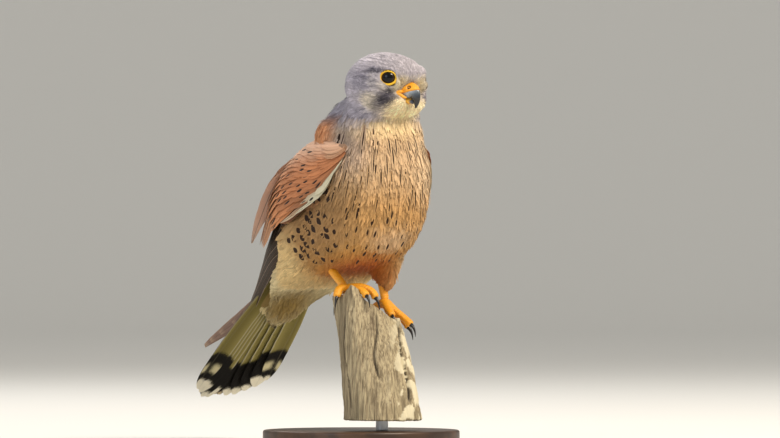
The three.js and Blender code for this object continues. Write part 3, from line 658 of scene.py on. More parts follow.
class KestrelPlumage(bpy.types.PropertyGroup):
    coat_depth: bpy.props.FloatProperty(
        name="Coat depth", description="How far the skin lies inside the outline of the feathers",
        default=1.5 * MM, min=0, unit="LENGTH")
    density: bpy.props.FloatProperty(
        name="Density", description="Share of the full number of body feathers", default=1.0,
        min=0.1, max=1.0, subtype="FACTOR")
    seed: bpy.props.IntProperty(name="Seed", description="Start of every random draw", default=7)
    streak: bpy.props.FloatVectorProperty(
        name="Streaks", description="Colour of streaks and spots", subtype="COLOR", size=4, min=0, max=1,
        default=linear("#2C1A0E"))


class KestrelBareParts(bpy.types.PropertyGroup):
    skin: bpy.props.FloatVectorProperty(
        name="Bare skin", description="Colour of legs, cere and eye ring", subtype="COLOR", size=4, min=0,
        max=1, default=linear("#F5A826"))
    iris: bpy.props.FloatVectorProperty(
        name="Iris", description="Colour of the iris", subtype="COLOR", size=4, min=0, max=1,
        default=linear("#2B1A10"))


class KestrelStand(bpy.types.PropertyGroup):
    wood: bpy.props.FloatVectorProperty(
        name="Base", description="Colour of the stained base", subtype="COLOR", size=4, min=0, max=1,
        default=linear("#4A3220"))
    floor: bpy.props.FloatVectorProperty(
        name="Floor", description="Colour of the floor", subtype="COLOR", size=4, min=0, max=1,
        default=linear("#E9E7E2"))


STATE = {}


def skin_of_the_bird():
    if "skin" not in STATE:
        raise RuntimeError("Make the skin before the feathers that grow from it")
    return STATE["skin"]


# Body

# Skin and flesh have the colour of the feathers over them times this: painted shade, as little light gets
# under the feathers
SKIN_PAINTED_SHADE = 0.8
FLESH_PAINTED_SHADE = 0.45


class KESTREL_OT_skin(bpy.types.Operator):
    """One skin under the feathers of head, neck, body and thighs"""
    bl_idname = "kestrel.skin"
    bl_label = "Skin"

    def execute(self, context):
        depth = context.scene.kestrel_plumage.coat_depth / MM
        piece = fused("skin", FLESH, FLESH_GAP, SKIN_VOXEL, 14, lambda points: skin_depth(points, depth))
        points = points_of(piece.data)
        paint(piece.data, "tint", with_alpha(coat_colour(points) * SKIN_PAINTED_SHADE))
        unwrap(piece.data, skin_places(points))
        dress(piece, down_material())
        settle(piece, "plumage_buff", *FLESH)
        STATE["skin"] = Skin(piece)
        return {"FINISHED"}


def down_material():
    """Skin with a close down: matt, in the colours of the feathers but darker, as light doesn't reach it."""
    material, add = new_material("Downy skin")
    # Down tufts are about 1.5 mm apart
    fluff = add("TexNoise", Scale=1 / (1.5 * MM), Detail=4)
    return finished(material, add, (0.8, 0.0006, fluff), Base_Color=add("Attribute", attribute_name="tint"),
                    Roughness=0.9)


# How far feathers keep from the middle of the eye and of the bill, sideways and up
EYE_CLEAR = (6.1, 5.0)
BILL_CLEAR = (6.6, 6.2)
# Bare fold at the corner of the mouth, on the right side of the head
MOUTH_FOLD = np.array(((9.8, 19.0, -5.2), (8.0, 20.2, -6.3), (6.2, 21.6, -7.6), (4.7, 23.4, -8.6)))
MOUTH_FLANGE = np.array(((9.7, 18.9, -5.0), (8.4, 20.3, -4.7), (6.9, 21.7, -4.2)))
MOUTH_CLEAR = 1.5


def eye_way(side):
    return np.array((side * math.cos(EYE_OUTWARD), math.sin(EYE_OUTWARD), 0))


def bare_face(points):
    """True where the face has no feathers: round the eyes and on the bill."""
    head = to_head(points)
    bare = np.zeros(len(points), bool)
    for side in (1, -1):
        away = head - EYE_CENTRE * (side, 1, 1)
        across = away @ np.cross(UP, eye_way(side))
        near = (across / EYE_CLEAR[0]) ** 2 + (away[:, 2] / EYE_CLEAR[1]) ** 2 < 1
        bare |= near & (away @ eye_way(side) > 0)
    bill = (head[:, 0] / BILL_CLEAR[0]) ** 2 + ((head[:, 2] + 5.5) / BILL_CLEAR[1]) ** 2 < 1
    bare |= bill & (head[:, 1] > 20.1 + np.maximum(0, head[:, 2] + 5.2))
    head[:, 0] = np.abs(head[:, 0])
    mouth = np.concatenate([along(line, np.linspace(0, 1, count)) for line, count in (
        (MOUTH_FOLD, 9), (MOUTH_FLANGE, 5))])
    return bare | (np.linalg.norm(head[:, None] - mouth, axis=-1).min(1) < MOUTH_CLEAR)


# Where the skin lies deeper than elsewhere, or further out if the depth is below 0: which points are
# measured, those of the head, of the body or of the body with its left side folded over to the right,
# then depth, centre, radii and softness
SKIN_FORM = {
    "cheek": ("head", -3.2, (12, 16, -16), (11, 12, 9), 0.6),
    "nape": ("head", -2.4, (14, -22, -13), (15, 12, 9), 0.6),
    "flank": ("folded", -7.5, (31, 38, 140), (14, 24, 15), 0.6),
    "beside the bill": ("head", 1.2, (0, 27, -5), (8, 9, 6), 0.5),
    "under the bend of the wing": ("folded", 2.6, (30, -16, 194), (9, 20, 12), 0.6),
    "before the eye": ("head", 3.2, (12, 22, -3), (6, 6, 6), 0.7),
    "front of the brow": ("head", 1.3, (17, 20, 12.6), (7, 7, 3.4), 0.7),
    "vent": ("body", 8, (2, 66, 88), (28, 28, 15), 0.7),
    "thigh": ("body", 3.5, (31, -2, 108), (10, 18, 15), 0.7),
    "hind neck": ("folded", 6.5, (24, -8, 220), (10, 12, 9), 0.7),
    "mantle": ("folded", -4.5, (31, 1, 202), (13, 15, 9), 0.7),
}


def skin_depth(points, depth):
    """How far the skin lies inside the solids: less on the head, where the coat is short, and further out
    round the eyes and under the brows, which are flatter on the far side."""
    head = to_head(points)
    far = smoothstep(-head[:, 0], 2, 8)
    head[:, 0] = np.abs(head[:, 0])
    away = head - EYE_CENTRE
    radial = np.linalg.norm(away - (away @ eye_way(1))[:, None] * eye_way(1), axis=1)
    rim = 0.8 * np.exp(-((radial - 7.4) / 1.9) ** 2) * (away @ eye_way(1) > 0)
    brow = (1.4 - 0.6 * far) * spot(head, (16, 14, 10.8), (6.5, 8, 2.4), 0.6)
    depth = depth * (1 - 0.45 * head_share(points)) - rim - brow
    measured = {"head": head, "body": points,
                "folded": np.stack([np.abs(points[:, 0]), points[:, 1], points[:, 2]], -1)}
    for which, deeper, centre, radius, edge in SKIN_FORM.values():
        depth = depth + deeper * spot(measured[which], centre, radius, edge)
    return depth


def coat_weights(skin):
    """Which triangles of the skin each coat grows on."""
    middle = skin.middle
    share, turn, _ = body_place(middle)
    head = head_share(middle)
    back = np.sin(turn) > 0.25
    vent = (share > 0.6) & ~back
    high = middle[:, 2] > 150
    on_body = head < 0.5
    neck = on_body & (middle[:, 2] > 195)
    body = on_body & ~neck
    forward = to_head(middle)[:, 1]
    return {
        "coat_face": (~on_body & (forward > 4)) * 1.0,
        "coat_crown": (~on_body & (forward <= 6)) * 1.0,
        "coat_neck": neck * 1.0,
        "coat_breast": (body & ~back & ~vent & high) * 1.0,
        "coat_belly": (body & ~back & ~vent & ~high) * 1.0,
        "coat_vent": (body & vent) * 1.0,
        "coat_back": (body & back) * 1.0,
    }


# Number of feathers, length, half width, lift at the tip, sway and slot of each coat
COATS = {
    "coat_face": (7900, 3.4, 0.42, 0.75, 0.12, "plumage_grey"),
    "coat_crown": (7900, 5.2, 0.62, 0.85, 0.12, "plumage_grey"),
    "coat_neck": (7900, 8.5, 0.8, 1.2, 0.12, "plumage_grey"),
    "coat_breast": (8000, 11, 1.15, 1.4, 0.12, "plumage_buff"),
    "coat_belly": (8000, 11, 1.1, 1.5, 0.16, "plumage_buff"),
    "coat_vent": (6500, 15, 1.05, 1.6, 0.16, "plumage_buff"),
    "coat_back": (4500, 12, 2.6, 1.5, 0.08, "plumage_rufous"),
}
HEAD_COATS = ("coat_face", "coat_crown")
VANE_ROWS = 4
# Some feathers stand loose and break the outline
LOOSE_SHARE = 0.05
LOOSE_LIFT = 1.1
STRAND_LIFT = 0.3
# Raised strands are painted lighter by this share and sunken ones darker: painted light and shade
STRAND_LIGHT_AND_SHADE = 0.16


def coat(skin, name, weight, material, density, rng):
    number, length, width, lift, sway, slot = COATS[name]
    roots, normals = skin.scatter(weight, int(number * density), rng)
    keep = ~bare_face(roots)
    roots, normals = roots[keep], normals[keep]
    count = len(roots)
    length = length * rng.uniform(0.75, 1.2, count)
    width = width * rng.uniform(0.7, 1.3, count)
    lift = lift * rng.uniform(0.75, 1.15, count)
    lift += LOOSE_LIFT * (rng.random(count) < LOOSE_SHARE) * (name not in HEAD_COATS)
    strand = strands(roots)
    lift *= 1 + STRAND_LIFT * strand
    if name == "coat_face":
        # Shorter and finer towards the bill
        close = 1 - 0.35 * smoothstep(to_head(roots)[:, 1], 8, 22)
        length, width = length * close, width * close
    centre, side, up = grow(skin, roots, normals, length, lift, VANE_ROWS, sway, rng)
    keep = ~np.array([bare_face(centre[:, row]) for row in range(VANE_ROWS)]).any(0)
    centre, side, up, width, roots = (values[keep] for values in (centre, side, up, width, roots))
    # Strands are painted lighter where they stand higher and darker where they sink: painted light and shade
    shade = rng.uniform(0.84, 1.12, (len(centre), 1)) * (1.03 + STRAND_LIGHT_AND_SHADE * strand[keep, None])
    if name in HEAD_COATS:
        shade = shade ** 1.5
    tint = with_alpha(coat_colour(centre[:, 2]) * shade)
    spread = width[:, None] * np.array(BODY_VANE)
    piece = vane_mesh(name, centre, side, up, spread, spread, (-1, 0, 1), material, rng=rng, ragged=0.25,
                      values={"tint": tint, "mark": np.zeros((len(tint), 3))}, roots=skin_places(roots))
    return settle(piece, slot)


# Streaks and spots stand in rows: shares of the spine, and number of columns round the front
MARK_ROWS = (*np.linspace(0.13, 0.3, 6), *np.linspace(0.328, 0.59, 11))
MARK_COLUMNS = 20
# How far the rows reach over each side towards the back, as an angle
MARK_WRAP = 0.35
MARK_VANE = (0.35, 0.75, 1.0, 1.0, 0.85, 0.3)
# A distance from the spine that is outside the bird
OUTSIDE = 80


def mark_roots(skin, rng):
    """Roots of marked feathers, set in staggered rows that draw together towards the throat."""
    roots, normals = [], []
    for row, share in enumerate(MARK_ROWS):
        origin = np.array((0, along(SPINE_Y, share), along(SPINE_Z, share)))
        ahead = SPINE_AHEAD[int(share * (len(SPINE_SHARES) - 1))]
        for column in range(MARK_COLUMNS):
            share_round = (column + 0.5 * (row % 2)) / (MARK_COLUMNS - 1)
            turn = -math.pi - MARK_WRAP + (math.pi + 2 * MARK_WRAP) * share_round
            turn += rng.normal(0, 0.035)
            way = np.array((math.cos(turn), -ahead[1] * math.sin(turn), ahead[0] * math.sin(turn)))
            start = origin + rng.normal(0, 1.1) * np.array((0, ahead[0], ahead[1]))
            root, normal, _, _ = skin.tree.ray_cast(Vector(start + way * OUTSIDE), Vector(-way))
            if root is not None:
                roots.append(root[:])
                normals.append(normal[:])
    return np.array(roots), np.array(normals)


def marked_feathers(skin, material, rng):
    roots, normals = mark_roots(skin, rng)
    x, y, z = np.abs(roots[:, 0]), roots[:, 1], roots[:, 2]
    flank = smoothstep(y, -30, -16) * smoothstep(x, 22, 30)
    low = np.maximum(smoothstep(z, 172, 148), flank)
    chance = np.where(z > 199, 0.4, 0.66) * np.where(low > 0.5, 1.2, 1) * (1 + 0.15 * flank)
    keep = rng.random(len(roots)) < chance
    keep &= (z > 124) & (y < 34) & (head_share(roots) < 0.4) & ~((z > 180) & (y > -20) & (x > 16))
    roots, normals, flank, low = roots[keep], normals[keep], flank[keep], low[keep]
    count = len(roots)
    length = (19 - 9.5 * low) * rng.uniform(0.8, 1.15, count)
    width = (1.35 + 0.95 * low + 3.4 * flank) * rng.uniform(0.8, 1.15, count)
    lift = 2.2 * rng.uniform(0.97, 1.05, count)
    centre, side, up = grow(skin, roots, normals, length, lift, 6, 0.05, rng, 0.45)
    mark = np.stack([
        (0.4 + 0.06 * low + 0.24 * flank) * rng.uniform(0.75, 1.15, count),
        0.12 + 0.34 * low + 0.12 * flank,
        0.99 - 0.03 * flank,
    ], -1)
    tint = with_alpha(coat_colour(centre[:, 4]))
    spread = width[:, None] * np.array(MARK_VANE)
    piece = vane_mesh("coat_marks", centre, side, up, spread, spread, (-1, -0.5, 0, 0.5, 1), material,
                      rng=rng, ragged=0.15, values={"tint": tint, "mark": mark}, roots=skin_places(roots))
    return settle(piece, "plumage_buff")


def contour_material(context):
    """The one material of the small feathers of head, body and tail coverts."""
    if "contour" not in STATE:
        streak = tuple(context.scene.kestrel_plumage.streak)
        STATE["contour"] = feather_material("Soft contour feathers", streak, 0.8)
    return STATE["contour"]


class KESTREL_OT_coat(bpy.types.Operator):
    """Small feathers of head, neck and body, with their streaks and spots"""
    bl_idname = "kestrel.coat"
    bl_label = "Body feathers"

    def execute(self, context):
        plumage = context.scene.kestrel_plumage
        skin = skin_of_the_bird()
        rng = np.random.default_rng(plumage.seed)
        material = contour_material(context)
        density = plumage.density * 1
        for name, weight in coat_weights(skin).items():
            coat(skin, name, weight, material, density, rng)
        marked_feathers(skin, material, rng)
        return {"FINISHED"}


# Wings

WING_Y = (-38, -12, 16, 44, 72, 104, 137, 172)
WING_Z = (183, 168, 153, 138, 120, 96, 73, 51)
WING_HALF = (33, 41, 42, 38, 31, 23, 15, 4)
WING_BACK = (19, 37, 48, 47, 34, 17, 8, 3)
WING_LOW = (0.1, 0.1, 0.05, 0, 0, 0, 0, 0)
WING_HIGH = (0.9, 1.2, 1.42, 1.45, 1.3, 1.2, 1.1, 1)
WING_POWER = 2 / 2.5
BEND = 0.42
BEND_END = 0.15
SHOULDER = 3.6
CROSSING_SHIFT = 23
CROSSING_LIFT = 11


def wing_point(side, u, v, lift):
    """A point of the folded wing: u from wrist to tip, v from the leading edge back, lift outwards."""
    u, v, lift = np.broadcast_arrays(np.asarray(u, float), v, lift)
    # The leading edge turns up into the bend of the wing, and the shoulder feathers stand full
    v = v + np.maximum(0, 1 - v) * BEND * np.clip((BEND_END - u) / BEND_END, 0, 1) ** 2
    lift = lift + SHOULDER * smoothstep(v, 0.3, 0.85) * smoothstep(u, 0.34, 0.08)
    lo, hi = np.maximum(0, u - 0.01), np.minimum(1, u + 0.01)
    ahead = unit(np.stack([along(WING_Y, hi) - along(WING_Y, lo), along(WING_Z, hi) - along(WING_Z, lo)], -1))
    turn = -along(WING_LOW, u) * (1 - v) + along(WING_HIGH, u) * v
    sideways = np.abs(np.cos(turn)) ** WING_POWER
    upward = np.sign(np.sin(turn)) * np.abs(np.sin(turn)) ** WING_POWER
    width = (along(WING_HALF, u) + lift) * sideways
    height = (along(WING_BACK, u) + lift) * upward
    cross = smoothstep(u, 0.45, 1) if side > 0 else 0
    return np.stack([side * width - cross * CROSSING_SHIFT, along(WING_Y, u) - ahead[..., 1] * height,
                     along(WING_Z, u) + ahead[..., 0] * height + cross * CROSSING_LIFT], -1)


def laid_vanes(place, u, v, lift, roll):
    """Frames of vanes whose shafts run through places (u, v) of a surface at a lift."""
    centre = place(u, v, lift)
    up = unit(place(u, v, lift + 1) - centre)
    ahead = unit(np.gradient(centre, axis=1))
    side = unit(np.cross(ahead, up))
    up = np.cross(side, ahead)
    side = side * math.cos(roll) + up * math.sin(roll)
    return centre, side, np.cross(side, ahead)


# Tiers from the lesser coverts down: number, lowest and highest place across, root and tip along the wing
# at both, half width and lift at the tip
COVERTS = (
    (11, (0.3, 0.98), (0.004, 0.03), (0.075, 0.12), 2.9, 1.2),
    (15, (0.12, 0.98), (0.006, 0.05), (0.11, 0.16), 2.9, 1.2),
    (18, (0.0, 0.98), (0.03, 0.08), (0.15, 0.205), 3.0, 1.2),
    (18, (0.0, 0.98), (0.07, 0.12), (0.19, 0.25), 3.0, 1.2),
    (18, (0.0, 0.98), (0.1, 0.16), (0.23, 0.3), 3.1, 1.2),
    (17, (0.0, 0.98), (0.14, 0.2), (0.27, 0.35), 3.2, 1.2),
    (16, (0.01, 0.98), (0.18, 0.25), (0.32, 0.41), 3.5, 1.1),
    (14, (0.02, 0.98), (0.22, 0.31), (0.38, 0.47), 4.0, 1.0),
    (12, (0.04, 0.96), (0.28, 0.36), (0.46, 0.54), 4.5, 0.8),
)
SECONDARIES = (10, (0.12, 0.76), (0.36, 0.42), (0.56, 0.63), 5.0, 0.2)
TERTIALS = (5, (0.62, 1.0), (0.34, 0.3), (0.622, 0.57), 7.6, 6.4)
# Roll of the vanes about their shafts, tint and pale edge
INNER_FLIGHT = ((SECONDARIES, 0.08, "#C28C66", "#DDBD9E"), (TERTIALS, 0.45, "#CF9670", "#E8CBB0"))
COVERT_ROLL = 0.1
# The fleshy wing: share of the wing's length it takes, depth under the feathers and half thickness
CORE_REACH = 0.5
CORE_DEPTH = 2.4
CORE_HALF = 1.9
CORE_SEED = 3
WING_ROOT = -1.4
# Feathers closer than this to the leading edge make its pale scaly rim
RIM = 0.022


def tier(size, rows, rng, jitter):
    """Shaft places of one tier as rows of u, v and lift."""
    number, across, root, tip, _, high = size
    # Closer together towards the leading edge
    step = np.linspace(0, 1, number) ** 1.25
    v = across[0] + (across[1] - across[0]) * step + rng.normal(0, jitter, number)
    start = root[0] + (root[1] - root[0]) * step
    end = tip[0] + (tip[1] - tip[0]) * step + rng.normal(0, jitter, number)
    share = np.linspace(0, 1, rows)[None]
    u = start[:, None] + (end - start)[:, None] * share
    lift = WING_ROOT + (high - WING_ROOT) * share ** 0.9 + np.zeros_like(u)
    return u, np.repeat(v[:, None], rows, 1), lift


def wing_places(u, v):
    return np.stack([0.05 + 0.9 * np.asarray(u), 0.05 + 0.9 * np.asarray(v)], -1)


def covert_colour(v, u, rng):
    rim = RIM * (1 + 1.6 * smoothstep(u, 0.3, 0.2))
    bend = smoothstep(u, 0.1, 0.088) * smoothstep(v, 0.7, 0.5)
    colour = layered("#CA8355", len(v), (
        # Paler towards the back of the wing: painted light on the top of the folded wing
        (smoothstep(v, 0.3, 0.75) * 0.9, "#EFC3A3"),
        (smoothstep(u, 0.3, 0.5) * 0.5, "#D08F5C"),
        (smoothstep(v, 0.15, 0.06) * smoothstep(u, 0.42, 0.3) * 0.35, "#6A5440"),
        (np.maximum(smoothstep(v, rim, 0.4 * rim), 0.22 * bend), "#D8D1B4"),
    ))
    return colour * rng.uniform(0.88, 1.1, (len(v), 1))


def wing_coverts(side, label, material, rng):
    parts = []
    for size in COVERTS:
        u, v, lift = tier(size, len(FLIGHT_VANE), rng, 0.005)
        centre, across, up = laid_vanes(partial(wing_point, side), u, v, lift, side * COVERT_ROLL)
        count, place, tip = len(u), v[:, 0], u[:, -1]
        tint = with_alpha(covert_colour(place, tip, rng))
        chance = np.interp(place, (0, 0.1, 0.5, 0.7), (0.4, 0.55, 0.4, 0.1))
        spotted = (tip > 0.13) & (rng.random(count) < chance)
        mark = np.stack([np.where(spotted, rng.uniform(0.4, 0.55, count), 0), rng.uniform(0.7, 0.77, count),
                         rng.uniform(0.91, 0.95, count)], -1)
        # The scaly rim has a fine dark line along each feather
        mark = np.where(((place < RIM) & (tip > 0.2))[:, None], (0.13, 0.1, 0.96), mark)
        narrow = np.maximum(0.34 + 0.66 * smoothstep(place, 0.01, 0.1), smoothstep(tip, 0.26, 0.2))
        spread = size[4] * narrow[:, None] * rng.uniform(0.92, 1.08, (count, 1)) * np.array(FLIGHT_VANE)
        parts.append(vane_mesh("covert", centre, across, up, spread, spread, COVERT_STATIONS, material,
                               rng=rng, ragged=0.1, thick=0.14, values={"tint": tint, "mark": mark},
                               roots=wing_places(u[:, 0], place)))
    return settle(join(f"wing_{label}_coverts", parts), "plumage_rufous", f"wing_{label}")


def wing_core(side, label, material):
    """The fleshy wing under its feathers, closed and rounded at the bend."""
    t = np.linspace(0, 1, 30)[:, None]
    angle = around(40)[None]
    u = CORE_REACH * t + 0 * angle
    v = 0.49 + 0.49 * rounded(t, 0.22, 0.3) * np.cos(angle)
    lift = -CORE_DEPTH + CORE_HALF * rounded(t, 0.08, 0.1) * np.sin(angle)
    points = wing_point(side, u, v, lift)
    points[0], points[-1] = points[0].mean(0), points[-1].mean(0)
    piece = shell(f"wing_{label}_flesh", points, material)
    u, v = shell_values(np.stack([u, v], -1)).T
    # Coloured like the coverts over it but darker: painted shade under the feathers
    tint = covert_colour(np.maximum(v, 0.06), u, np.random.default_rng(CORE_SEED)) * FLESH_PAINTED_SHADE
    paint(piece.data, "tint", with_alpha(tint))
    unwrap(piece.data, wing_places(u, v))
    return settle(piece, "plumage_rufous")


def flight_material(name, below):
    """Stiff flight feathers: a satin vane with slanted barbs, paler below (partly painted light through the
    vane), a pale fringe, a horny shaft.
    """
    material, add = new_material(name)
    across, share, _, wave = barbs(add, 110.0, 14.0)
    under = add("STEP", add("Attribute", attribute_name="underside", output="Fac"), 0, 0.12)
    tint = add("BLEND", add("MULTIPLY", under, 0.9), add("Attribute", attribute_name="tint"), linear(below))
    fringe = add("MAXIMUM", add("STEP", across, 0.88, 0.98), add("STEP", share, 0.965, 0.995))
    colour = add("BLEND", add("MULTIPLY", fringe, 0.85), tint, add("Attribute", attribute_name="edge"))
    shaft = add("SUBTRACT", 1.0, add("STEP", across, 0.03, 0.09))
    colour = add("BLEND", add("MULTIPLY", shaft, 0.6), colour, linear("#5B4636"))
    colour = shaded(add, colour, add("ADD", 0.96, add("MULTIPLY", wave, 0.05)))
    height = add("ADD", wave, add("MULTIPLY", shaft, 4.0))
    return finished(material, add, (0.5, BARB_DEPTH, height), Base_Color=colour, Roughness=0.5,
                    Specular_IOR_Level=0.16)


def flight_values(tint, edge, count, rng, brightest):
    """Tint and pale edge of flight feathers, each a little darker or brighter than the next."""
    return {"tint": with_alpha(np.tile(rgb(tint), (count, 1)) * rng.uniform(0.9, brightest, (count, 1))),
            "edge": with_alpha(np.tile(rgb(edge), (count, 1)))}


def secondaries(side, label, material, rng):
    parts = []
    for size, roll, tint, edge in INNER_FLIGHT:
        u, v, lift = tier(size, 14, rng, 0.004)
        centre, across, up = laid_vanes(partial(wing_point, side), u, v, lift, side * roll)
        spread = size[4] * np.interp(np.linspace(0, 1, 14), np.linspace(0, 1, 9), FLIGHT_VANE)
        spread = np.repeat(spread[None], len(u), 0)
        values = flight_values(tint, edge, len(u), rng, 1.1)
        parts.append(vane_mesh("secondary", centre, across, up, spread, spread, FLIGHT_STATIONS, material,
                               rng=rng, ragged=0.05, thick=0.3, values=values,
                               roots=wing_places(u[:, 0], v[:, 0])))
    return settle(join(f"wing_{label}_secondaries", parts), "plumage_rufous")


# Share of the wing that each primary reaches, from the leading edge back
PRIMARY_TIPS = (0.93, 0.965, 1.0, 0.99, 0.965, 0.93, 0.89, 0.85, 0.81, 0.775)
PRIMARY_REACH = {"left": 1.0, "right": 0.95}
PRIMARY_WIDTH = 5.4
# Places across the wing of the first primary's root and tip, how far the others spread from it, and how
# deep roots and tips lie under the coverts
PRIMARY_FROM = -0.13
PRIMARY_TO = -0.04
PRIMARY_SPREAD = 0.86
PRIMARY_ROOT_LIFT = -7.0
PRIMARY_LIFT = -1.3
PRIMARY_STACK = 7.2
PRIMARY_VANE = (0.6, 0.9, 1, 1, 1, 1, 0.94, 0.74, 0.25)


def primaries(side, label, material, rng):
    count, rows = len(PRIMARY_TIPS), 22
    step = np.linspace(0, 1, count)[:, None]
    share = np.linspace(0, 1, rows)[None]
    tip = np.array(PRIMARY_TIPS)[:, None] * PRIMARY_REACH[label]
    start = 0.44 + 0.04 * step
    u = start + (tip - start) * share
    first, last = PRIMARY_FROM + PRIMARY_SPREAD * step, PRIMARY_TO + PRIMARY_SPREAD * step
    v = first + (last - first) * share
    # Each lies under the next one forward
    rise = PRIMARY_LIFT - PRIMARY_STACK * step - PRIMARY_ROOT_LIFT
    lift = PRIMARY_ROOT_LIFT + rise * smoothstep(share, 0, 0.3)
    centre, across, up = laid_vanes(partial(wing_point, side), u, v, lift, 0)
    narrow = np.interp(step[:, 0], (0, 0.5), (0.6, 1))[:, None]
    spread = PRIMARY_WIDTH * np.interp(share[0], np.linspace(0, 1, 9), PRIMARY_VANE)[None] * narrow
    piece = vane_mesh(f"wing_{label}_primaries", centre, across, up, spread, spread, FLIGHT_STATIONS,
                      material, rng=rng, ragged=0.03, thick=0.3, roots=wing_places(u[:, 0], step[:, 0]),
                      values=flight_values("#3B2F24", "#B79C84", count, rng, 1.15))
    return settle(piece, "flight_feather", f"primaries_{label}")


class KESTREL_OT_wings(bpy.types.Operator):
    """Folded wings: coverts in tiers, secondaries, tertials and primaries"""
    bl_idname = "kestrel.wings"
    bl_label = "Wings"

    def execute(self, context):
        rng = np.random.default_rng(context.scene.kestrel_plumage.seed + 1)
        covert = feather_material("Wing coverts", linear("#231B18"), 0.72, 0.1)
        # The very pale underside of the secondaries and tertials is partly painted light that comes through
        # them
        flight = flight_material("Flight feathers", "#FFE9DA")
        dusky = flight_material("Primaries", "#9C8070")
        down = down_material()
        for label, side in (("right", -1), ("left", 1)):
            wing_core(side, label, down)
            wing_coverts(side, label, covert, rng)
            secondaries(side, label, flight, rng)
            primaries(side, label, dusky, rng)
        return {"FINISHED"}


# Tail

TAIL_BASE = np.array((0, 51, 137.0))
TAIL_PITCH = math.radians(40)
TAIL_AHEAD = np.array((0, math.cos(TAIL_PITCH), -math.sin(TAIL_PITCH)))
TAIL_UP = np.array((0, math.sin(TAIL_PITCH), math.cos(TAIL_PITCH)))
TAIL_LENGTH = 173
TAIL_HALF = (8, 15, 21, 26, 29, 31, 32)
TAIL_SKEW = 6
TAIL_DROOP = 4
TAIL_ROUNDING = 23
TAIL_PAIRS = 6
# Black band before the pale tip, in millimetres from the tip of each feather
BAND_END = 8.5
BAND_START = 36
# Sorts of tail feathers: the middle pair, which covers the next, and the outermost, whose band has a
# pale notch. Those between have a lower number of their own
COVERING = 0.95
NOTCHED = 0.78
# Roots of the tail feathers, in millimetres from the base
TAIL_ROOT = 26
TAIL_WIDTH = 9.3
TAIL_STACK = 0.75
TAIL_VANE = (0.5, 0.62, 0.74, 0.84, 0.93, 1, 1, 0.9, 0.2)
TAIL_COVERT_VANE = (0.4, 0.75, 0.95, 1.0, 1.0, 0.92, 0.7, 0.2)


def tail_point(a, f, lift):
    a, f, lift = np.broadcast_arrays(np.asarray(a, float), f, lift)
    share = a / TAIL_LENGTH
    height = lift - TAIL_DROOP * (f / 30) ** 2
    return (TAIL_BASE + a[..., None] * TAIL_AHEAD + height[..., None] * TAIL_UP
            + (f - TAIL_SKEW * share)[..., None] * np.array((1.0, 0, 0)))


def tail_material():
    """Tail feathers: blue-grey above, creamy below, with a black band, a pale tip and a horny shaft."""
    material, add = new_material("Tail feathers")
    across, share, sort, wave = barbs(add, 190.0, 16.0)
    under = add("STEP", add("Attribute", attribute_name="underside", output="Fac"), 0, 0.12)
    reach = add("Attribute", attribute_name="reach", output="Fac")
    left = add("SUBTRACT", reach, add("MULTIPLY", reach, share))
    left = add("ADD", left, add("MULTIPLY", add("MULTIPLY", across, across), 3.0))
    # Cloudy spots are about 3 mm wide
    rough = add("TexNoise", Scale=1 / (3 * MM), Detail=3)
    edge = add("ADD", left, add("MULTIPLY", add("SUBTRACT", rough, 0.5), 11.0))
    # Each feather carries its band a little higher or lower than its neighbour
    edge = add("ADD", edge, add("MULTIPLY", add("SUBTRACT", sort, 0.4), 9.0))
    # Below, the vane is drawn darker and more olive than its own pale colour: painted shade under the tail
    below = add("BLEND", add("STEP", across, 0.2, 0.95), linear("#7A6F3C"), linear("#978B50"))
    below = add("BLEND", add("MULTIPLY", rough, 0.35), below, linear("#6A5F33"))
    below = add("BLEND", add("MULTIPLY", add("STEP", across, 0.84, 0.95), 0.5), below, linear("#CFC497"))
    # A feather covered by its neighbour looks grey near its shaft, as little light comes through
    covered = add("STEP", sort, 0.84, 0.9)
    below = add("BLEND", add("MULTIPLY", covered, 0.4), below, linear("#77715A"))
    above = add("BLEND", add("MULTIPLY", rough, 0.4), linear("#A3A4AC"), linear("#8C8E99"))
    base = add("BLEND", under, above, below)
    before_tip = add("STEP", edge, BAND_END - 0.8, BAND_END + 0.8)
    band = add("MULTIPLY", before_tip,
               add("SUBTRACT", 1.0, add("STEP", edge, BAND_START - 1.5, BAND_START + 1.5)))
    # Covered feathers get darker tips as well: painted shade
    tip_colour = add("BLEND", covered, linear("#EFE6CE"), linear("#C9B594"))
    colour = add("BLEND", add("SUBTRACT", 1.0, before_tip), base, tip_colour)
    notch = add("MULTIPLY", add("STEP", edge, 15, 18), add("SUBTRACT", 1.0, add("STEP", edge, 22, 27)))
    ragged = add("ADD", across, add("MULTIPLY", add("SUBTRACT", rough, 0.5), 1.2))
    notch = add("MULTIPLY", notch, add("STEP", ragged, 0.1, 0.5))
    notch = add("MULTIPLY", notch, add("MULTIPLY", under, add("STEP", sort, 0.73, 0.75)))
    notch = add("MULTIPLY", notch, add("SUBTRACT", 1.0, add("STEP", sort, 0.82, 0.85)))
    colour = add("BLEND", band, colour, add("BLEND", notch, linear("#0E0A05"), linear("#D0C59C")))
    shaft = add("SUBTRACT", 1.0, add("STEP", across, 0.035, 0.085))
    # Shafts are pale, and plain to see only on the upper side
    shown = add("SUBTRACT", 0.6, add("MULTIPLY", under, 0.4))
    colour = add("BLEND", add("MULTIPLY", shaft, shown), colour, linear("#857D68"))
    colour = shaded(add, colour, add("ADD", 0.97, add("MULTIPLY", wave, 0.045)))
    height = add("ADD", wave, add("MULTIPLY", shaft, 1.2))
    return finished(material, add, (0.5, BARB_DEPTH, height), Base_Color=colour, Roughness=0.55,
                    Specular_IOR_Level=0.04)


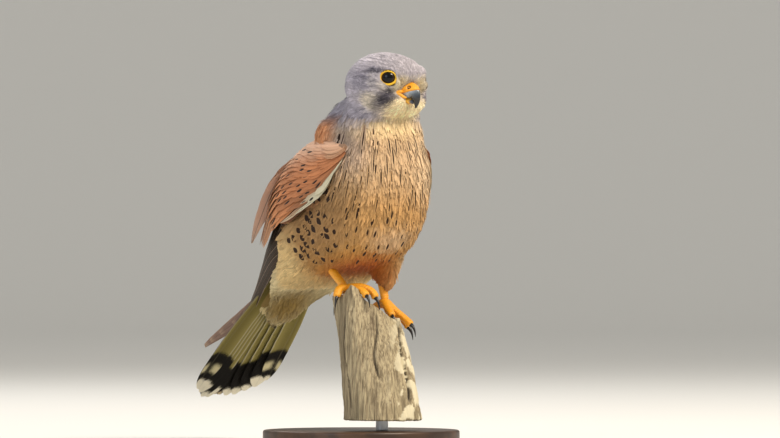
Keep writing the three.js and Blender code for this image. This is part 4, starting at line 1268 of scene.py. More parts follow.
def rectrices(material, rng):
    """The twelve tail feathers, middle pair on top, so that from below each inner web lies under the
    next feather outwards."""
    share = np.linspace(0, 1, 30)
    centre, left, right, reach, sorts = [], [], [], [], []
    for side in (1, -1):
        for pair in range(TAIL_PAIRS):
            outermost = pair == TAIL_PAIRS - 1
            length = TAIL_LENGTH - TAIL_ROUNDING * (pair / (TAIL_PAIRS - 1)) ** 2 + rng.normal(0, 0.8)
            a = TAIL_ROOT + (length - TAIL_ROOT) * share
            f = side * (pair + 0.45) / TAIL_PAIRS * (along(TAIL_HALF, a / TAIL_LENGTH) - 3)
            lift = TAIL_STACK * (TAIL_PAIRS - 1 - pair + (0.5 if side > 0 else 0)) + 0 * a
            centre.append(tail_point(a, f, lift))
            end = np.interp(share, (0, 0.93, 0.975, 1), (1, 1, 0.8, 0.3))
            width = TAIL_WIDTH * np.interp(share, np.linspace(0, 1, 9), TAIL_VANE) ** 0.5 * end
            outer = width * (0.45 if outermost else 0.8)
            left.append(width if side > 0 else outer)
            right.append(outer if side > 0 else width)
            reach.append(length - TAIL_ROOT)
            sorts.append(COVERING if pair == 0 else NOTCHED if outermost else rng.uniform(0, 0.7))
    centre = np.stack(centre)
    ahead = unit(np.gradient(centre, axis=1))
    across = unit(np.cross(TAIL_UP[None, None], ahead)) * -1
    across = across * np.sign(across[..., :1])
    up = unit(np.cross(across, ahead))
    up = up * np.sign(dot(up, TAIL_UP))
    piece = vane_mesh("tail_feathers", centre, across, up, np.stack(left), np.stack(right), FLIGHT_STATIONS,
                      material, rng=rng, ragged=0.02, thick=0.28, camber=0.05,
                      values={"reach": np.array(reach)},
                      roots=np.stack([0.05 + 0.08 * np.arange(len(reach)), np.full(len(reach), 0.05)], -1))
    places = piece.data.attributes["place"].data
    place = read(places, "vector")
    place[:, 2] = np.repeat(sorts, len(place) // len(sorts))
    places.foreach_set("vector", place.ravel())
    return settle(piece, "tail_feather", "tail")


def tail_coverts(material, rng):
    """Coverts over and under the root of the tail, in rows that overlap towards the body."""
    parts = []
    count = 11
    share = np.linspace(0, 1, len(TAIL_COVERT_VANE))[None]
    # Which way they face, share of the tail's width, rows, colour, first and last tip and their lift
    for way, wide, rows, colour, (first, last), (high, low) in (
            (1, 0.82, 6, "#A5A6B0", (40, 78), (9.5, 7.2)), (-1, 0.5, 7, "#D9C794", (38, 84), (-5.5, -2.6))):
        for row in range(rows):
            tip = first + (last - first) * (1 - row / (rows - 1))
            f = np.linspace(-1, 1, count) * wide + rng.normal(0, 0.03, count)
            a_tip = tip - 12 * np.abs(f) + rng.normal(0, 1.5, count)
            a = (a_tip - 34)[:, None] + 34 * share
            half = along(TAIL_HALF, np.clip(a / TAIL_LENGTH, 0, 1)) + 1
            level = high + (low - high) * np.clip((a - 30) / 50, 0, 1)
            level = level * (1 - 0.12 * row * (1 - share)) + 0.25 * way * (row - 2)
            bow = np.cos(f * 1.35)[:, None]
            centre = tail_point(a, f[:, None] * half, level * bow)
            ahead = unit(np.gradient(centre, axis=1))
            up_way = unit(TAIL_UP * way + np.array((1.0, 0, 0)) * f[:, None] * 0.9)[:, None]
            across = unit(np.cross(ahead, up_way))
            up = np.cross(across, ahead)
            spread = 4.6 * np.array(TAIL_COVERT_VANE) * np.ones((count, 1))
            tint = np.tile(rgb(colour), (count, 1)) * rng.uniform(0.92, 1.08, (count, 1))
            if way < 0:
                brown = ((rng.random(count) < 0.6) * 0.85 * smoothstep(a_tip, 48, 64))[:, None]
                tint = tint * (1 - brown) + rgb("#7D6126") * brown
            parts.append(vane_mesh("covert", centre, across, up, spread, spread, (-1, -0.5, 0, 0.5, 1),
                                   material, rng=rng, ragged=0.3,
                                   values={"tint": with_alpha(tint), "mark": np.zeros((count, 3))},
                                   roots=np.stack([0.5 + 0.4 * f, np.full(count, 0.2 + 0.05 * row)], -1)))
    return settle(join("tail_coverts", parts), "plumage_buff")


class KESTREL_OT_tail(bpy.types.Operator):
    """Twelve tail feathers and the coverts at their root"""
    bl_idname = "kestrel.tail"
    bl_label = "Tail"

    def execute(self, context):
        rng = np.random.default_rng(context.scene.kestrel_plumage.seed + 2)
        rectrices(tail_material(), rng)
        tail_coverts(contour_material(context), rng)
        return {"FINISHED"}


# Eyes and bill

LID_HALF = (4.5, 3.7)
EYE_SET_IN = 0.9
# The eyeball keeps this far from its solid, and its clear front bulges within an angle
EYE_PLAY = 0.25
FRONT_ANGLE = 0.75
FRONT_BULGE = 0.35
# Distance from the middle of the eye at which the black pupil turns into the iris
PUPIL_EDGE = (2.9, 3.3)


def bare_skin_material(name, colour, bumpy):
    """Horny yellow skin: smooth with a slight wax shine, a little light going into it, finely scaled."""
    material, add = new_material(name)
    # Fine scales are 0.9 mm wide, darker patches 4 mm
    fine = add("TexNoise", Scale=1 / (0.9 * MM), Detail=3)
    soft = add("TexNoise", Scale=1 / (4 * MM), Detail=3)
    tone = add("BLEND", add("MULTIPLY", add("STEP", soft, 0.4, 0.6), 0.7), colour, darker(colour, 0.66))
    # Hollows are painted dark brown: painted shade
    tone = add("BLEND", add("Attribute", attribute_name="hollow_shade", output="Fac"), tone, linear("#3A1C08"))
    return finished(material, add, (bumpy, 0.0002, fine), Base_Color=tone, Roughness=0.42,
                    Subsurface_Weight=0.15, Subsurface_Radius=(0.001, 0.0005, 0.0002))


def horn_material(name):
    """Polished keratin: blue-grey at the base, black at the tip, by the painted share along it."""
    material, add = new_material(name)
    share = add("Attribute", attribute_name="share", output="Fac")
    # Clouds in the horn are about 2.5 mm wide
    cloud = add("TexNoise", Scale=1 / (2.5 * MM), Detail=3)
    ramp = add("ValToRGB", add("ADD", share, add("MULTIPLY", add("SUBTRACT", cloud, 0.5), 0.25)))
    stops = ramp.node.color_ramp.elements
    # The pale blue-grey base runs on past the edge of the cere: partly the horn's own colour, partly a
    # painted highlight on the culmen
    stops[0].position, stops[0].color = 0.38, linear("#A9B4BD")
    stops[1].position, stops[1].color = 0.7, linear("#121216")
    stops.new(0.56).color = linear("#4B535C")
    return finished(material, add, Base_Color=ramp, Roughness=0.22, Coat_Weight=0.3, Coat_Roughness=0.1)


def eye_material(iris):
    """Wet eyeball: a clear glossy front over a black pupil and a very dark brown iris."""
    material, add = new_material("Glass eye")
    ring = add("STEP", add("Attribute", attribute_name="ring", output="Fac"), *PUPIL_EDGE)
    return finished(material, add, Base_Color=add("BLEND", ring, linear("#050404"), tuple(iris)),
                    Roughness=0.05, IOR=1.34)


def make_eye(side, label, material, lid_material):
    way = eye_way(side)
    across = np.cross(UP, way)
    centre = EYE_CENTRE * (side, 1, 1) - way * EYE_SET_IN
    polar, turn = np.linspace(0, math.pi, 24)[:, None], around(48)[None]
    bulge = FRONT_BULGE * np.cos(polar / FRONT_ANGLE * math.pi / 2) ** 2
    size = EYE_RADIUS - EYE_PLAY + np.where(polar < FRONT_ANGLE, bulge, 0)
    out = (size * np.cos(polar) + 0 * turn)[..., None]
    away = (size * np.sin(polar))[..., None]
    local = centre + out * way + away * (np.cos(turn)[..., None] * across + np.sin(turn)[..., None] * UP)
    piece = shell(f"eyeball_{label}", from_head(local), material)
    paint(piece.data, "ring", shell_values(EYE_RADIUS * np.sin(polar) + 0 * turn))
    settle(piece, "eye", f"eye_{label}")

    # Lid: a thick soft rim round the opening that meets the feathers outside
    loop, section = around(72), around(14)
    wide, high = LID_HALF
    points = np.empty((len(loop), len(section), 3))
    for k, angle in enumerate(loop):
        flat = math.cos(angle) * wide * across + math.sin(angle) * high * UP
        radial, reach = unit(flat), np.linalg.norm(flat)
        level = math.sqrt(max(0.1, (EYE_RADIUS + 0.1) ** 2 - reach ** 2))
        # Thickest at the corners, thinner above, with small folds
        thick = 0.62 + 0.5 * abs(math.cos(angle + 0.3)) ** 10 - 0.12 * math.sin(angle)
        thick += 0.05 * math.sin(angle * 17)
        for m, turn in enumerate(section):
            points[k, m] = (centre + way * (level - 0.25 + 0.6 * math.sin(turn))
                            + radial * (reach + thick + thick * math.cos(turn)))
    k, m = np.meshgrid(range(len(loop)), range(len(section)), indexing="ij")
    n, o = (k + 1) % len(loop), (m + 1) % len(section)
    faces = np.stack([row * len(section) + column for row, column in ((k, m), (k, o), (n, o), (n, m))], -1)
    mesh = mesh_from(f"lid_{label}", from_head(points.reshape(-1, 3)), faces.reshape(-1, 4))
    return settle(new_object(f"lid_{label}", mesh, lid_material), "cere_skin")


# Middle line, half height and half width of both mandibles, from the head to the tip
BILL_SPINE = ((0, 14, -3.6), (0, 20.5, -3.5), (0, 25, -4.6), (0, 27.6, -7.5), (0, 28.1, -11.3),
              (0, 27, -15.4))
BILL_DEEP = (5.2, 5.1, 4.6, 3.6, 2.3, 0.4)
BILL_WIDE = (6.8, 5.8, 4.4, 3.0, 1.8, 0.3)
LOWER_SPINE = ((0, 13, -8.7), (0, 18.6, -9.7), (0, 22.8, -10.7), (0, 25.4, -11.2))
LOWER_DEEP = (2.4, 2.2, 1.8, 1.1)
LOWER_WIDE = (6.0, 5.0, 3.5, 1.8)
BILL_RIDGE = 0.42
BILL_COLUMNS = 48
LOWER_COLUMNS = 40
NOSTRIL = np.array((3.5, 24.6, -2.0))
# Share of the bill's length that the cere may cover
CERE_SHARE = 0.66
# The cere lies above a line that runs from the culmen down to the gape
CERE_LINE = {"ahead": 25.6, "up": -4.4, "slope": 0.27}


def above_cere_line(points):
    return points[..., 2] - CERE_LINE["up"] - CERE_LINE["slope"] * (points[..., 1] - CERE_LINE["ahead"])


def horn_tube(spine, deep, wide, rows, columns, ridge=0.0):
    """Rows of points round a curved horn with rounded ends, narrowed towards a ridge on top."""
    t = np.linspace(0, 1, rows)
    centre = along(spine, t)
    ahead = unit(np.gradient(centre, axis=0))
    side = np.tile(np.array((1.0, 0, 0)), (rows, 1))
    up = np.cross(side, ahead)
    turn = around(columns)
    close = rounded(t, 0.03, 0.04)[:, None]
    narrow = 1 - ridge * np.clip(np.sin(turn), 0, 1) ** 1.5
    x = along(wide, t)[:, None] * close * np.cos(turn) * narrow
    y = along(deep, t)[:, None] * close * np.sin(turn)
    return centre[:, None] + x[..., None] * side[:, None] + y[..., None] * up[:, None], t


class KESTREL_OT_face(bpy.types.Operator):
    """Eyes with their lids, cere with nostrils, and both mandibles"""
    bl_idname = "kestrel.face"
    bl_label = "Eyes and bill"

    def execute(self, context):
        bare = context.scene.kestrel_bare
        yellow = tuple(bare.skin)
        lids = bare_skin_material("Yellow eye ring", linear("#F0BE22"), 0.5)
        wax = bare_skin_material("Waxy cere", yellow, 0.35)
        horn = horn_material("Bill horn")
        glass = eye_material(bare.iris)
        for label, side in (("right", 1), ("left", -1)):
            make_eye(side, label, glass, lids)

        upper, t = horn_tube(BILL_SPINE, BILL_DEEP, BILL_WIDE, 60, BILL_COLUMNS, BILL_RIDGE)
        # It is thinner under the cere
        sunk = 1 - 0.4 * smoothstep(above_cere_line(upper), 0, 1.2)[..., None]
        middle = along(BILL_SPINE, t)[:, None]
        upper = middle + (upper - middle) * sunk
        # The tomial tooth of falcons: a small point of the cutting edge on each side before the hook
        below = np.sin(around(BILL_COLUMNS)) < -0.25
        tooth = 0.9 * np.exp(-((t - 0.66) / 0.035) ** 2) - 0.4 * np.exp(-((t - 0.58) / 0.04) ** 2)
        upper[..., 2] -= tooth[:, None] * below
        piece = shell("upper_mandible", from_head(upper), horn)
        paint(piece.data, "share", shell_values(t[:, None] + np.zeros((1, BILL_COLUMNS))))
        settle(piece, "bill", "bill_upper")

        lower, t = horn_tube(LOWER_SPINE, LOWER_DEEP, LOWER_WIDE, 40, LOWER_COLUMNS)
        piece = shell("lower_mandible", from_head(lower), horn_lower_material())
        paint(piece.data, "share", shell_values(t[:, None] + np.zeros((1, LOWER_COLUMNS))))
        settle(piece, "bill", "bill_lower")

        make_cere(wax)
        return {"FINISHED"}


def horn_lower_material():
    """Lower mandible: waxy yellow at its base and horn grey at its tip."""
    material, add = new_material("Lower mandible horn")
    tip = add("STEP", add("Attribute", attribute_name="share", output="Fac"), 0.7, 0.9)
    return finished(material, add, Base_Color=add("BLEND", tip, linear("#DDA636"), linear("#5A606A")),
                    Roughness=0.3)


def make_cere(material):
    """The swollen skin over the base of the upper mandible, pierced by two round nostrils."""
    points, t = horn_tube(BILL_SPINE, BILL_DEEP, BILL_WIDE, 110, 120, BILL_RIDGE)
    rows = int(CERE_SHARE * len(t))
    points, t = points[:rows], t[:rows]
    flat = points.reshape(-1, 3)
    centre = np.repeat(along(BILL_SPINE, t), points.shape[1], 0)
    outward = unit(flat - centre)
    rise = -0.8 + 1.3 * smoothstep(above_cere_line(flat), -0.35, 0.5)
    hollow_shade = np.zeros(len(flat))
    for side in (1, -1):
        # A swelling round each nostril, its pit, and the small bony knob in its middle
        away = np.linalg.norm(flat - NOSTRIL * (side, 1, 1), axis=1)
        rise += 0.35 * np.exp(-(away / 2.8) ** 2) - 1.5 * smoothstep(away, 1.6, 1.05)
        rise += 1.1 * smoothstep(away, 0.65, 0.3)
        # The pit round the knob is painted dark: painted shade in the nostril
        hollow_shade += smoothstep(away, 1.5, 1.05) * smoothstep(away, 0.35, 0.65)
    rise += noise_at(flat * 0.5) * 0.15
    close = 1 - 0.5 * smoothstep(np.repeat(t, points.shape[1]), 0.62, CERE_SHARE)
    flat = centre + (flat - centre + outward * rise[:, None]) * close[:, None]
    parts = [shell("swollen_cere", from_head(flat.reshape(points.shape)), material)]
    paint(parts[0].data, "hollow_shade", shell_values(hollow_shade.reshape(points.shape[:2])))
    # The bare corner of the mouth behind it
    for side in (1, -1):
        for spine, deep, wide, rows in ((MOUTH_FOLD, (1.1, 1.6, 1.3, 0.7), (1.2, 1.7, 1.4, 0.6), 24),
                                        (MOUTH_FLANGE, (0.9, 1.5, 1.3), (0.9, 1.3, 1.2), 20)):
            corner, _ = horn_tube(spine * (side, 1, 1), deep, wide, rows, 16)
            parts.append(shell("mouth_corner", from_head(corner), material))
    return settle(join("swollen_cere", parts), "cere_skin", "cere")


# Legs

# Middle lines of shanks and toes, from the body outwards
LIMBS = {
    "right": {
        "shank": ((-19, 23, 128), (-18.6, 9.5, 116), (-15.9, -5.5, 103)),
        "middle": ((-15, -7, 101.6), (-14.2, -16.5, 101), (-13.2, -24, 100.4), (-12.8, -29.5, 97.4)),
        "inner": ((-14, -7, 102), (-9, -16, 102.5), (-5.5, -23, 100), (-4.5, -27, 96)),
        "outer": ((-16, -7, 102), (-21, -11, 102), (-25, -14, 100.5), (-27, -15.5, 96.5)),
        "hind": ((-15, -7, 101.5), (-14, 2, 101), (-13, 8, 98.5), (-12.5, 11.5, 93)),
    },
    "left": {
        "shank": ((13, 9, 131), (14, 0, 110), (15, -5, 94)),
        "middle": ((15, -5, 93), (18.4, -12, 87), (21.3, -18.8, 82.4), (23.2, -25, 78.4)),
        "inner": ((14.4, -5.5, 93), (12, -13, 89.6), (10.2, -19.5, 86.6), (9.2, -24.5, 84.2)),
        "outer": ((15.6, -4.6, 93), (20, -8.4, 87.2), (24, -12.4, 81.6), (26, -16.4, 76.6)),
        "hind": ((15, -5, 93), (13.2, 2.6, 90), (12, 8, 86.5), (11.5, 11, 81)),
    },
}
SHANK_RADIUS = 2.4
TOES = ("middle", "inner", "outer", "hind")
TOE_RADIUS = 2.7
# Scutes on the front of shank and toes are about 2 mm long
SCUTE_LENGTH = 2.0
PAD_LENGTH = 5.2
# Claws: length, droop, and radius at the toe and at the tip
CLAW_LENGTH = 9.0
CLAW_DROOP = 7.2
CLAW_RADIUS = (1.65, 0.16)


def limb(spine, start, end, front, pads=0.0):
    """Rows of points round a scaly limb: broad scutes in front, and pads behind where they are wanted."""
    t = np.linspace(0, 1, 72)
    centre = along(spine, t)
    ahead = unit(np.gradient(centre, axis=0))
    length = np.concatenate([[0], np.cumsum(np.linalg.norm(np.diff(centre, axis=0), axis=1))])
    front = np.array(front, float)
    up = unit(front - ahead * dot(ahead, front))
    side = np.cross(ahead, up)
    turn = around(32)
    close = rounded(t, 0.05, 0.1)[:, None]
    facing = np.clip(np.sin(turn), 0, 1)[None]
    saw = (length / SCUTE_LENGTH) % 1
    scute = 0.42 * np.sqrt(np.maximum(0, 1 - saw ** 3))[:, None] * smoothstep(facing, 0.05, 0.5)
    pad = pads * np.maximum(0, np.sin(length / PAD_LENGTH * math.pi)[:, None]) * np.clip(-np.sin(turn), 0, 1)
    radius = (start + (end - start) * t)[:, None] * close
    total = radius * (1 + 0.06 * np.cos(2 * turn)[None]) + (scute + pad - 0.15) * close
    return centre[:, None] + (np.cos(turn)[None, :, None] * side[:, None]
                              + np.sin(turn)[None, :, None] * up[:, None]) * total[..., None]


def claw_points(spine):
    """Rows of points round a claw that leaves the end of a toe and hooks down."""
    tip = np.array(spine[-1], float)
    level = unit(unit(tip - np.array(spine[-2], float)) * (1, 1, 0.35))
    t = np.linspace(0, 1, 30)
    centre = (tip + level * (CLAW_LENGTH * (t - 0.12) * (1 - 0.55 * t))[:, None]
              - UP * (CLAW_DROOP * t ** 1.6)[:, None])
    ahead = unit(np.gradient(centre, axis=0))
    side = unit(np.cross(ahead, UP))
    up = np.cross(side, ahead)
    turn = around(20)
    thick, thin = CLAW_RADIUS
    radius = (thick + (thin - thick) * t ** 0.85)[:, None] * rounded(t, 0.06, 0.03)[:, None]
    return centre[:, None] + radius[..., None] * (np.cos(turn)[None, :, None] * side[:, None] * 0.85
                                                  + np.sin(turn)[None, :, None] * up[:, None])


class KESTREL_OT_legs(bpy.types.Operator):
    """Scaly shanks and toes, and their claws"""
    bl_idname = "kestrel.legs"
    bl_label = "Legs and claws"

    def execute(self, context):
        yellow = bare_skin_material("Scaly leg skin", tuple(context.scene.kestrel_bare.skin), 0.6)
        horn = claw_material()
        for label, parts in LIMBS.items():
            points = limb(parts["shank"], SHANK_RADIUS + 0.4, SHANK_RADIUS + 0.2, (0, -1, 0.4))
            shank = shell(f"shank_{label}", points, yellow)
            settle(shank, "leg_skin", f"tarsus_{label}")
            toes = []
            for toe in TOES:
                points = limb(parts[toe], TOE_RADIUS * 1.12, TOE_RADIUS * 0.8, (0, 0, 1), pads=0.7)
                toes.append(shell(f"toe_{toe}_{label}", points, yellow))
                claw = shell(f"talon_{toe}_{label}", claw_points(parts[toe]), horn)
                settle(claw, "claw", f"claw_{toe}_{label}")
            settle(join(f"toes_{label}", toes), "leg_skin", f"foot_{label}")
        return {"FINISHED"}


def claw_material():
    """Claw keratin: nearly black, smooth and hard, with a soft shine."""
    return finished(*new_material("Black claw horn"), Base_Color=linear("#1C1A1B"), Roughness=0.28)


# Perch and stand

def bark_material():
    """Old grey wood: raised pale fibres, cracks along the grain darkened with painted shade, and brownish
    stains, quite matt.
    """
    material, add = new_material("Weathered wood")
    place = add("TexCoord", output="Object")
    # The grain runs up the perch: fibres are about 1.1 mm apart and 20 mm long
    stretch = add("Mapping", Vector=place, Scale=(1.0, 1.0, 0.06))
    fibre = add("TexNoise", Vector=stretch, Scale=1 / (1.1 * MM), Detail=5, Roughness=0.62)
    # Growth rings are 9 mm wide and stains 22 mm
    broad = add("TexNoise", Vector=stretch, Scale=1 / (9 * MM), Detail=4, Roughness=0.55)
    patch = add("TexNoise", Vector=place, Scale=1 / (22 * MM), Detail=3)
    colour = add("BLEND", add("STEP", fibre, 0.3, 0.68), linear("#6C5E47"), linear("#B9A987"))
    for share, over in ((add("MULTIPLY", add("STEP", broad, 0.5, 0.34), 0.55), "#4A3B2A"),
                        (add("MULTIPLY", add("STEP", patch, 0.5, 0.7), 0.5), "#8F8468"),
                        (add("Attribute", attribute_name="hollow_shade", output="Fac"), "#241B13"),
                        (add("Attribute", attribute_name="lichen_and_highlight", output="Fac"), "#D8CDAE")):
        colour = add("BLEND", share, colour, linear(over))
    height = add("ADD", fibre, add("MULTIPLY", broad, 1.4))
    return finished(material, add, (0.8, 0.0007, height), Base_Color=colour, Roughness=0.88)


# Cracks of the perch: place round it from the front, depth, half width as an angle, lower and upper end
CRACKS = ((0.5, 1.0, 0.09, 26, 92), (-0.35, 0.55, 0.05, 40, 88), (1.35, 0.6, 0.06, 20, 80),
          (2.4, 0.6, 0.06, 20, 84), (-1.3, 0.6, 0.05, 22, 86), (-2.5, 0.6, 0.06, 20, 80))
# The perch leans: the middle of its foot and of its top
PERCH_FOOT = np.array((0, -27.0, 17))
PERCH_TOP = np.array((-3.0, -10, 82))


def crack_depth(points, axis):
    """How far the wood is split at points of the perch: one long crack in front and finer ones round it."""
    turn = np.arctan2(points[:, 0] - axis[:, 0], -(points[:, 1] - axis[:, 1]))
    z = points[:, 2]
    sway = noise_at((0.3, 0.2, 0) + z[:, None] * (0, 0, 0.035))
    depth = np.zeros(len(points))
    for place, deep, wide, low, high in CRACKS:
        away = np.abs((turn - place - sway * 0.35 + math.pi) % (2 * math.pi) - math.pi)
        depth = np.maximum(depth, deep * smoothstep(away, wide, wide * 0.25)
                           * smoothstep(z, low, low + 8) * smoothstep(z, high, high - 6))
    return depth


def lichen_and_highlight_share(points):
    """Flakes of lichen on the right side of the perch, as seen from the front, where they are also a painted
    highlight on the side the key light falls on.
    """
    values = noise_at(points * (0.16, 0.16, 0.11)) + 0.3 * noise_at(points * 0.6)
    side = smoothstep(points[:, 0] * 0.866 - points[:, 1] * 0.5, 14, 30)
    return smoothstep(values, 0.0, 0.12) * side


class KESTREL_OT_perch(bpy.types.Operator):
    """Weathered perch of the cut length"""
    bl_idname = "kestrel.perch"
    bl_label = "Perch"

    def execute(self, context):
        piece = fused("weathered_stub", ("perch",), 0.0, PERCH_VOXEL, 2, lambda points: np.zeros(len(points)))
        mesh = piece.data
        points = points_of(mesh)
        normal = read(mesh.vertices, "normal").astype(float)
        lean = PERCH_TOP - PERCH_FOOT
        share = np.clip((points[:, 2] - PERCH_FOOT[2]) / lean[2], 0, 1)[:, None]
        # Fibres are about 2 mm wide and 30 mm long, lumps 14 mm
        fibre = points * (0.5, 0.5, 0.035)
        fibre = np.array([noise.fractal(Vector(place), 0.9, 2.0, 4) for place in fibre.tolist()])
        lump = noise_at(points * 0.07)
        crack = crack_depth(points, PERCH_FOOT[:2] + share * lean[:2])
        flake = lichen_and_highlight_share(points)
        flank = 1 - np.abs(normal[:, 2])
        rise = (0.75 * fibre + 0.6 * lump - 0.5) * flank + 0.3 * fibre * (1 - flank)
        moved = points + normal * (rise - 2.6 * crack + 0.5 * flake)[:, None]
        mesh.vertices.foreach_set("co", (moved * MM).astype(np.float32).ravel())
        mesh.update()
        # The cracks are painted dark by their depth: painted shade in them
        paint(mesh, "hollow_shade", np.clip(crack * 1.3, 0, 1))
        # Lichen is kept to the right, lit side, where it is also a painted highlight
        paint(mesh, "lichen_and_highlight", flake)
        dress(piece, bark_material())
        settle(piece, "weathered_wood", "perch")
        return {"FINISHED"}


def lathe(name, profile, centre, columns, material):
    """A turned piece from radii and heights; the first and the last radius are 0."""
    turn = around(columns)
    profile = np.array(profile, float)
    points = np.stack([centre[0] + profile[:, :1] * np.cos(turn), centre[1] + profile[:, :1] * np.sin(turn),
                       np.repeat(profile[:, 1:], columns, 1)], -1)
    piece = shell(name, points, material)
    piece.data.set_sharp_from_angle(angle=math.radians(35))
    return piece


BASE_RADIUS = 64.0
BASE_HEIGHT = 10.0
BASE_BEVEL = 1.6
ROD_PLACE = (0, -27)
# Radii and heights of the rod, with a small bevel at both ends
ROD_PROFILE = ((0, 10.3), (3.6, 10.3), (4.0, 10.7), (4.0, 16.4), (3.7, 16.7), (0, 16.7))


def turned_wood_material(colour):
    """Stained and oiled hardwood: fine straight grain, a satin shine."""
    material, add = new_material("Stained hardwood")
    # Pores are about 0.8 mm apart across the grain and 20 mm long, growth rings 9 mm wide
    stretch = add("Mapping", Vector=add("TexCoord", output="Object"), Scale=(0.05, 1.0, 1.0))
    pores = add("TexNoise", Vector=stretch, Scale=1 / (0.8 * MM), Detail=4, Roughness=0.6)
    rings = add("TexNoise", Vector=stretch, Scale=1 / (9 * MM), Detail=3)
    dark = darker(colour, 0.45)
    tone = add("BLEND", add("STEP", rings, 0.4, 0.62), colour, dark)
    tone = add("BLEND", add("MULTIPLY", add("STEP", pores, 0.5, 0.75), 0.5), tone, dark)
    return finished(material, add, (0.2, 0.0002, pores), Base_Color=tone, Roughness=0.4)


def brushed_steel_material():
    """Brushed steel: metallic, with fine lines round it that blur its shine."""
    material, add = new_material("Brushed steel")
    # Brushing lines are finer than 0.1 mm, drawn 0.3 mm apart
    stretch = add("Mapping", Vector=add("TexCoord", output="Object"), Scale=(0.05, 0.05, 1.0))
    lines = add("TexNoise", Vector=stretch, Scale=1 / (0.3 * MM), Detail=2)
    return finished(material, add, (0.15, 0.00005, lines), Base_Color=linear("#A9ABAE"), Metallic=1.0,
                    Roughness=0.32)


class KESTREL_OT_stand(bpy.types.Operator):
    """Turned base and short rod that carry the perch"""
    bl_idname = "kestrel.stand"
    bl_label = "Display stand"

    def execute(self, context):
        arc = np.linspace(0, math.pi / 2, 7)
        corner = [(BASE_RADIUS - BASE_BEVEL * (1 - math.cos(a)), BASE_HEIGHT - BASE_BEVEL * (1 - math.sin(a)))
                  for a in arc]
        profile = [(0, 0), (BASE_RADIUS - 1, 0), (BASE_RADIUS, 1)] + corner
        profile += [(30, BASE_HEIGHT), (0, BASE_HEIGHT)]
        wood = turned_wood_material(tuple(context.scene.kestrel_stand.wood))
        base = lathe("stand_turned_base", profile, (0, 0), 128, wood)
        settle(base, "stand_wood", "stand_base")
        rod = lathe("stand_steel_rod", ROD_PROFILE, ROD_PLACE, 64, brushed_steel_material())
        settle(rod, "stand_metal", "stand_rod")
        return {"FINISHED"}


# Stage

PHOTO_WIDTH = 780
# Millimetres of the bird across one pixel of the photograph
PHOTO_SCALE = 0.65
VIEW_AZIMUTH = math.radians(-30)
VIEW_DISTANCE = 5.0
VIEW_CENTRE = (18.7, 147.0)
SENSOR = 36.0
# Lights: place back towards the camera, to the right and up in metres, size, power and colour
LIGHTS = {
    "key": (0.95, 1.15, 1.8, 0.8, 52, "#FFF2DE"),
    "fill": (1.4, -1.2, 0.9, 1.2, 9, "#F2F5FF"),
    "rim": (-1.3, -0.5, 1.5, 1.0, 12, "#FFFFFF"),
}
LIGHT_TARGET = (0, 0, 0.15)


def plain_material(name, colour):
    """Matt painted surface that draws no eye."""
    return finished(*new_material(name), Base_Color=colour, Roughness=0.9)


def area_light(name, place, size, power, colour):
    data = bpy.data.lights.new(name, "AREA")
    data.shape = "DISK"
    data.size = size
    data.energy = power
    data.color = linear(colour)[:3]
    light = bpy.data.objects.new(name, data)
    light.location = place
    light.rotation_euler = (Vector(LIGHT_TARGET) - place).to_track_quat("-Z", "Y").to_euler()
    bpy.context.scene.collection.objects.link(light)


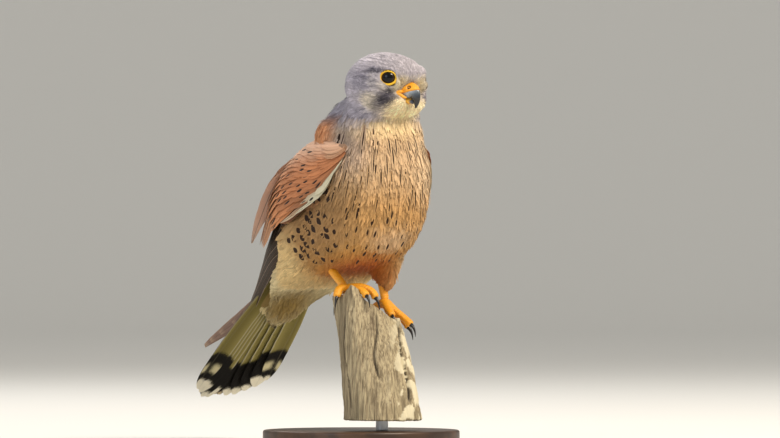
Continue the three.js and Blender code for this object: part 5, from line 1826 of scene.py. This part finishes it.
class KESTREL_OT_stage(bpy.types.Operator):
    """Floor, soft light and a camera at the angle of the photograph"""
    bl_idname = "kestrel.stage"
    bl_label = "Stage"

    def execute(self, context):
        scene = context.scene
        floor_mesh = bpy.data.meshes.new("floor")
        # A floor, in metres, that bends up into a wall far behind
        profile = [(-4, 0), (5, 0)] + [(5 + 2 * math.sin(a), 2 - 2 * math.cos(a))
                                       for a in np.linspace(0.1, math.pi / 2, 16)] + [(7, 9)]
        verts = [(x, y, z) for y, z in profile for x in (-12, 12)]
        faces = [(2 * k, 2 * k + 1, 2 * k + 3, 2 * k + 2) for k in range(len(profile) - 1)]
        floor_mesh.from_pydata(verts, [], faces)
        paint_of_floor = plain_material("Matt floor", tuple(scene.kestrel_stand.floor))
        floor = new_object("floor", floor_mesh, paint_of_floor)
        floor.rotation_euler = (0, 0, VIEW_AZIMUTH)

        right = Vector((math.cos(VIEW_AZIMUTH), math.sin(VIEW_AZIMUTH), 0))
        back = Vector((math.sin(VIEW_AZIMUTH), -math.cos(VIEW_AZIMUTH), 0))
        middle = right * VIEW_CENTRE[0] * MM + Vector((0, 0, VIEW_CENTRE[1] * MM))
        camera_data = bpy.data.cameras.new("camera")
        camera_data.sensor_width = SENSOR
        camera_data.lens = SENSOR * VIEW_DISTANCE / (PHOTO_WIDTH * PHOTO_SCALE * MM)
        camera = bpy.data.objects.new("camera", camera_data)
        camera.location = middle + back * VIEW_DISTANCE
        camera.rotation_euler = (math.pi / 2, 0, VIEW_AZIMUTH)
        scene.collection.objects.link(camera)
        scene.camera = camera

        for name, (behind, beside, above, *look) in LIGHTS.items():
            area_light(name, back * behind + right * beside + Vector((0, 0, above)), *look)
        world = bpy.data.worlds.new("studio")
        world.use_nodes = True
        world.node_tree.nodes["Background"].inputs["Color"].default_value = linear("#F3F3F1")
        world.node_tree.nodes["Background"].inputs["Strength"].default_value = 0.55
        scene.world = world
        scene.view_settings.view_transform = "Standard"
        return {"FINISHED"}


# Panel and registration

class KESTREL_PT_panel(bpy.types.Panel):
    bl_label = "Kestrel"
    bl_idname = "KESTREL_PT_panel"
    bl_space_type = "VIEW_3D"
    bl_region_type = "UI"
    bl_category = "Kestrel"

    def draw(self, context):
        for group in ("kestrel_plumage", "kestrel_bare", "kestrel_stand"):
            settings = getattr(context.scene, group)
            box = self.layout.box()
            for key in settings.__annotations__:
                box.prop(settings, key)
        for operator in OPERATORS:
            self.layout.operator(operator.bl_idname)


OPERATORS = (KESTREL_OT_skin, KESTREL_OT_coat, KESTREL_OT_wings, KESTREL_OT_tail, KESTREL_OT_face,
             KESTREL_OT_legs, KESTREL_OT_perch, KESTREL_OT_stand, KESTREL_OT_stage)
GROUPS = {"kestrel_plumage": KestrelPlumage, "kestrel_bare": KestrelBareParts, "kestrel_stand": KestrelStand}


def register():
    for cls in (*GROUPS.values(), *OPERATORS, KESTREL_PT_panel):
        bpy.utils.register_class(cls)
    for name, cls in GROUPS.items():
        setattr(bpy.types.Scene, name, bpy.props.PointerProperty(type=cls))


def unregister():
    for name in GROUPS:
        delattr(bpy.types.Scene, name)
    for cls in (KESTREL_PT_panel, *reversed(OPERATORS), *GROUPS.values()):
        bpy.utils.unregister_class(cls)


def main():
    register()
    for operator in OPERATORS:
        category, name = operator.bl_idname.split(".")
        getattr(getattr(bpy.ops, category), name)()


if __name__ == "__main__":
    main()
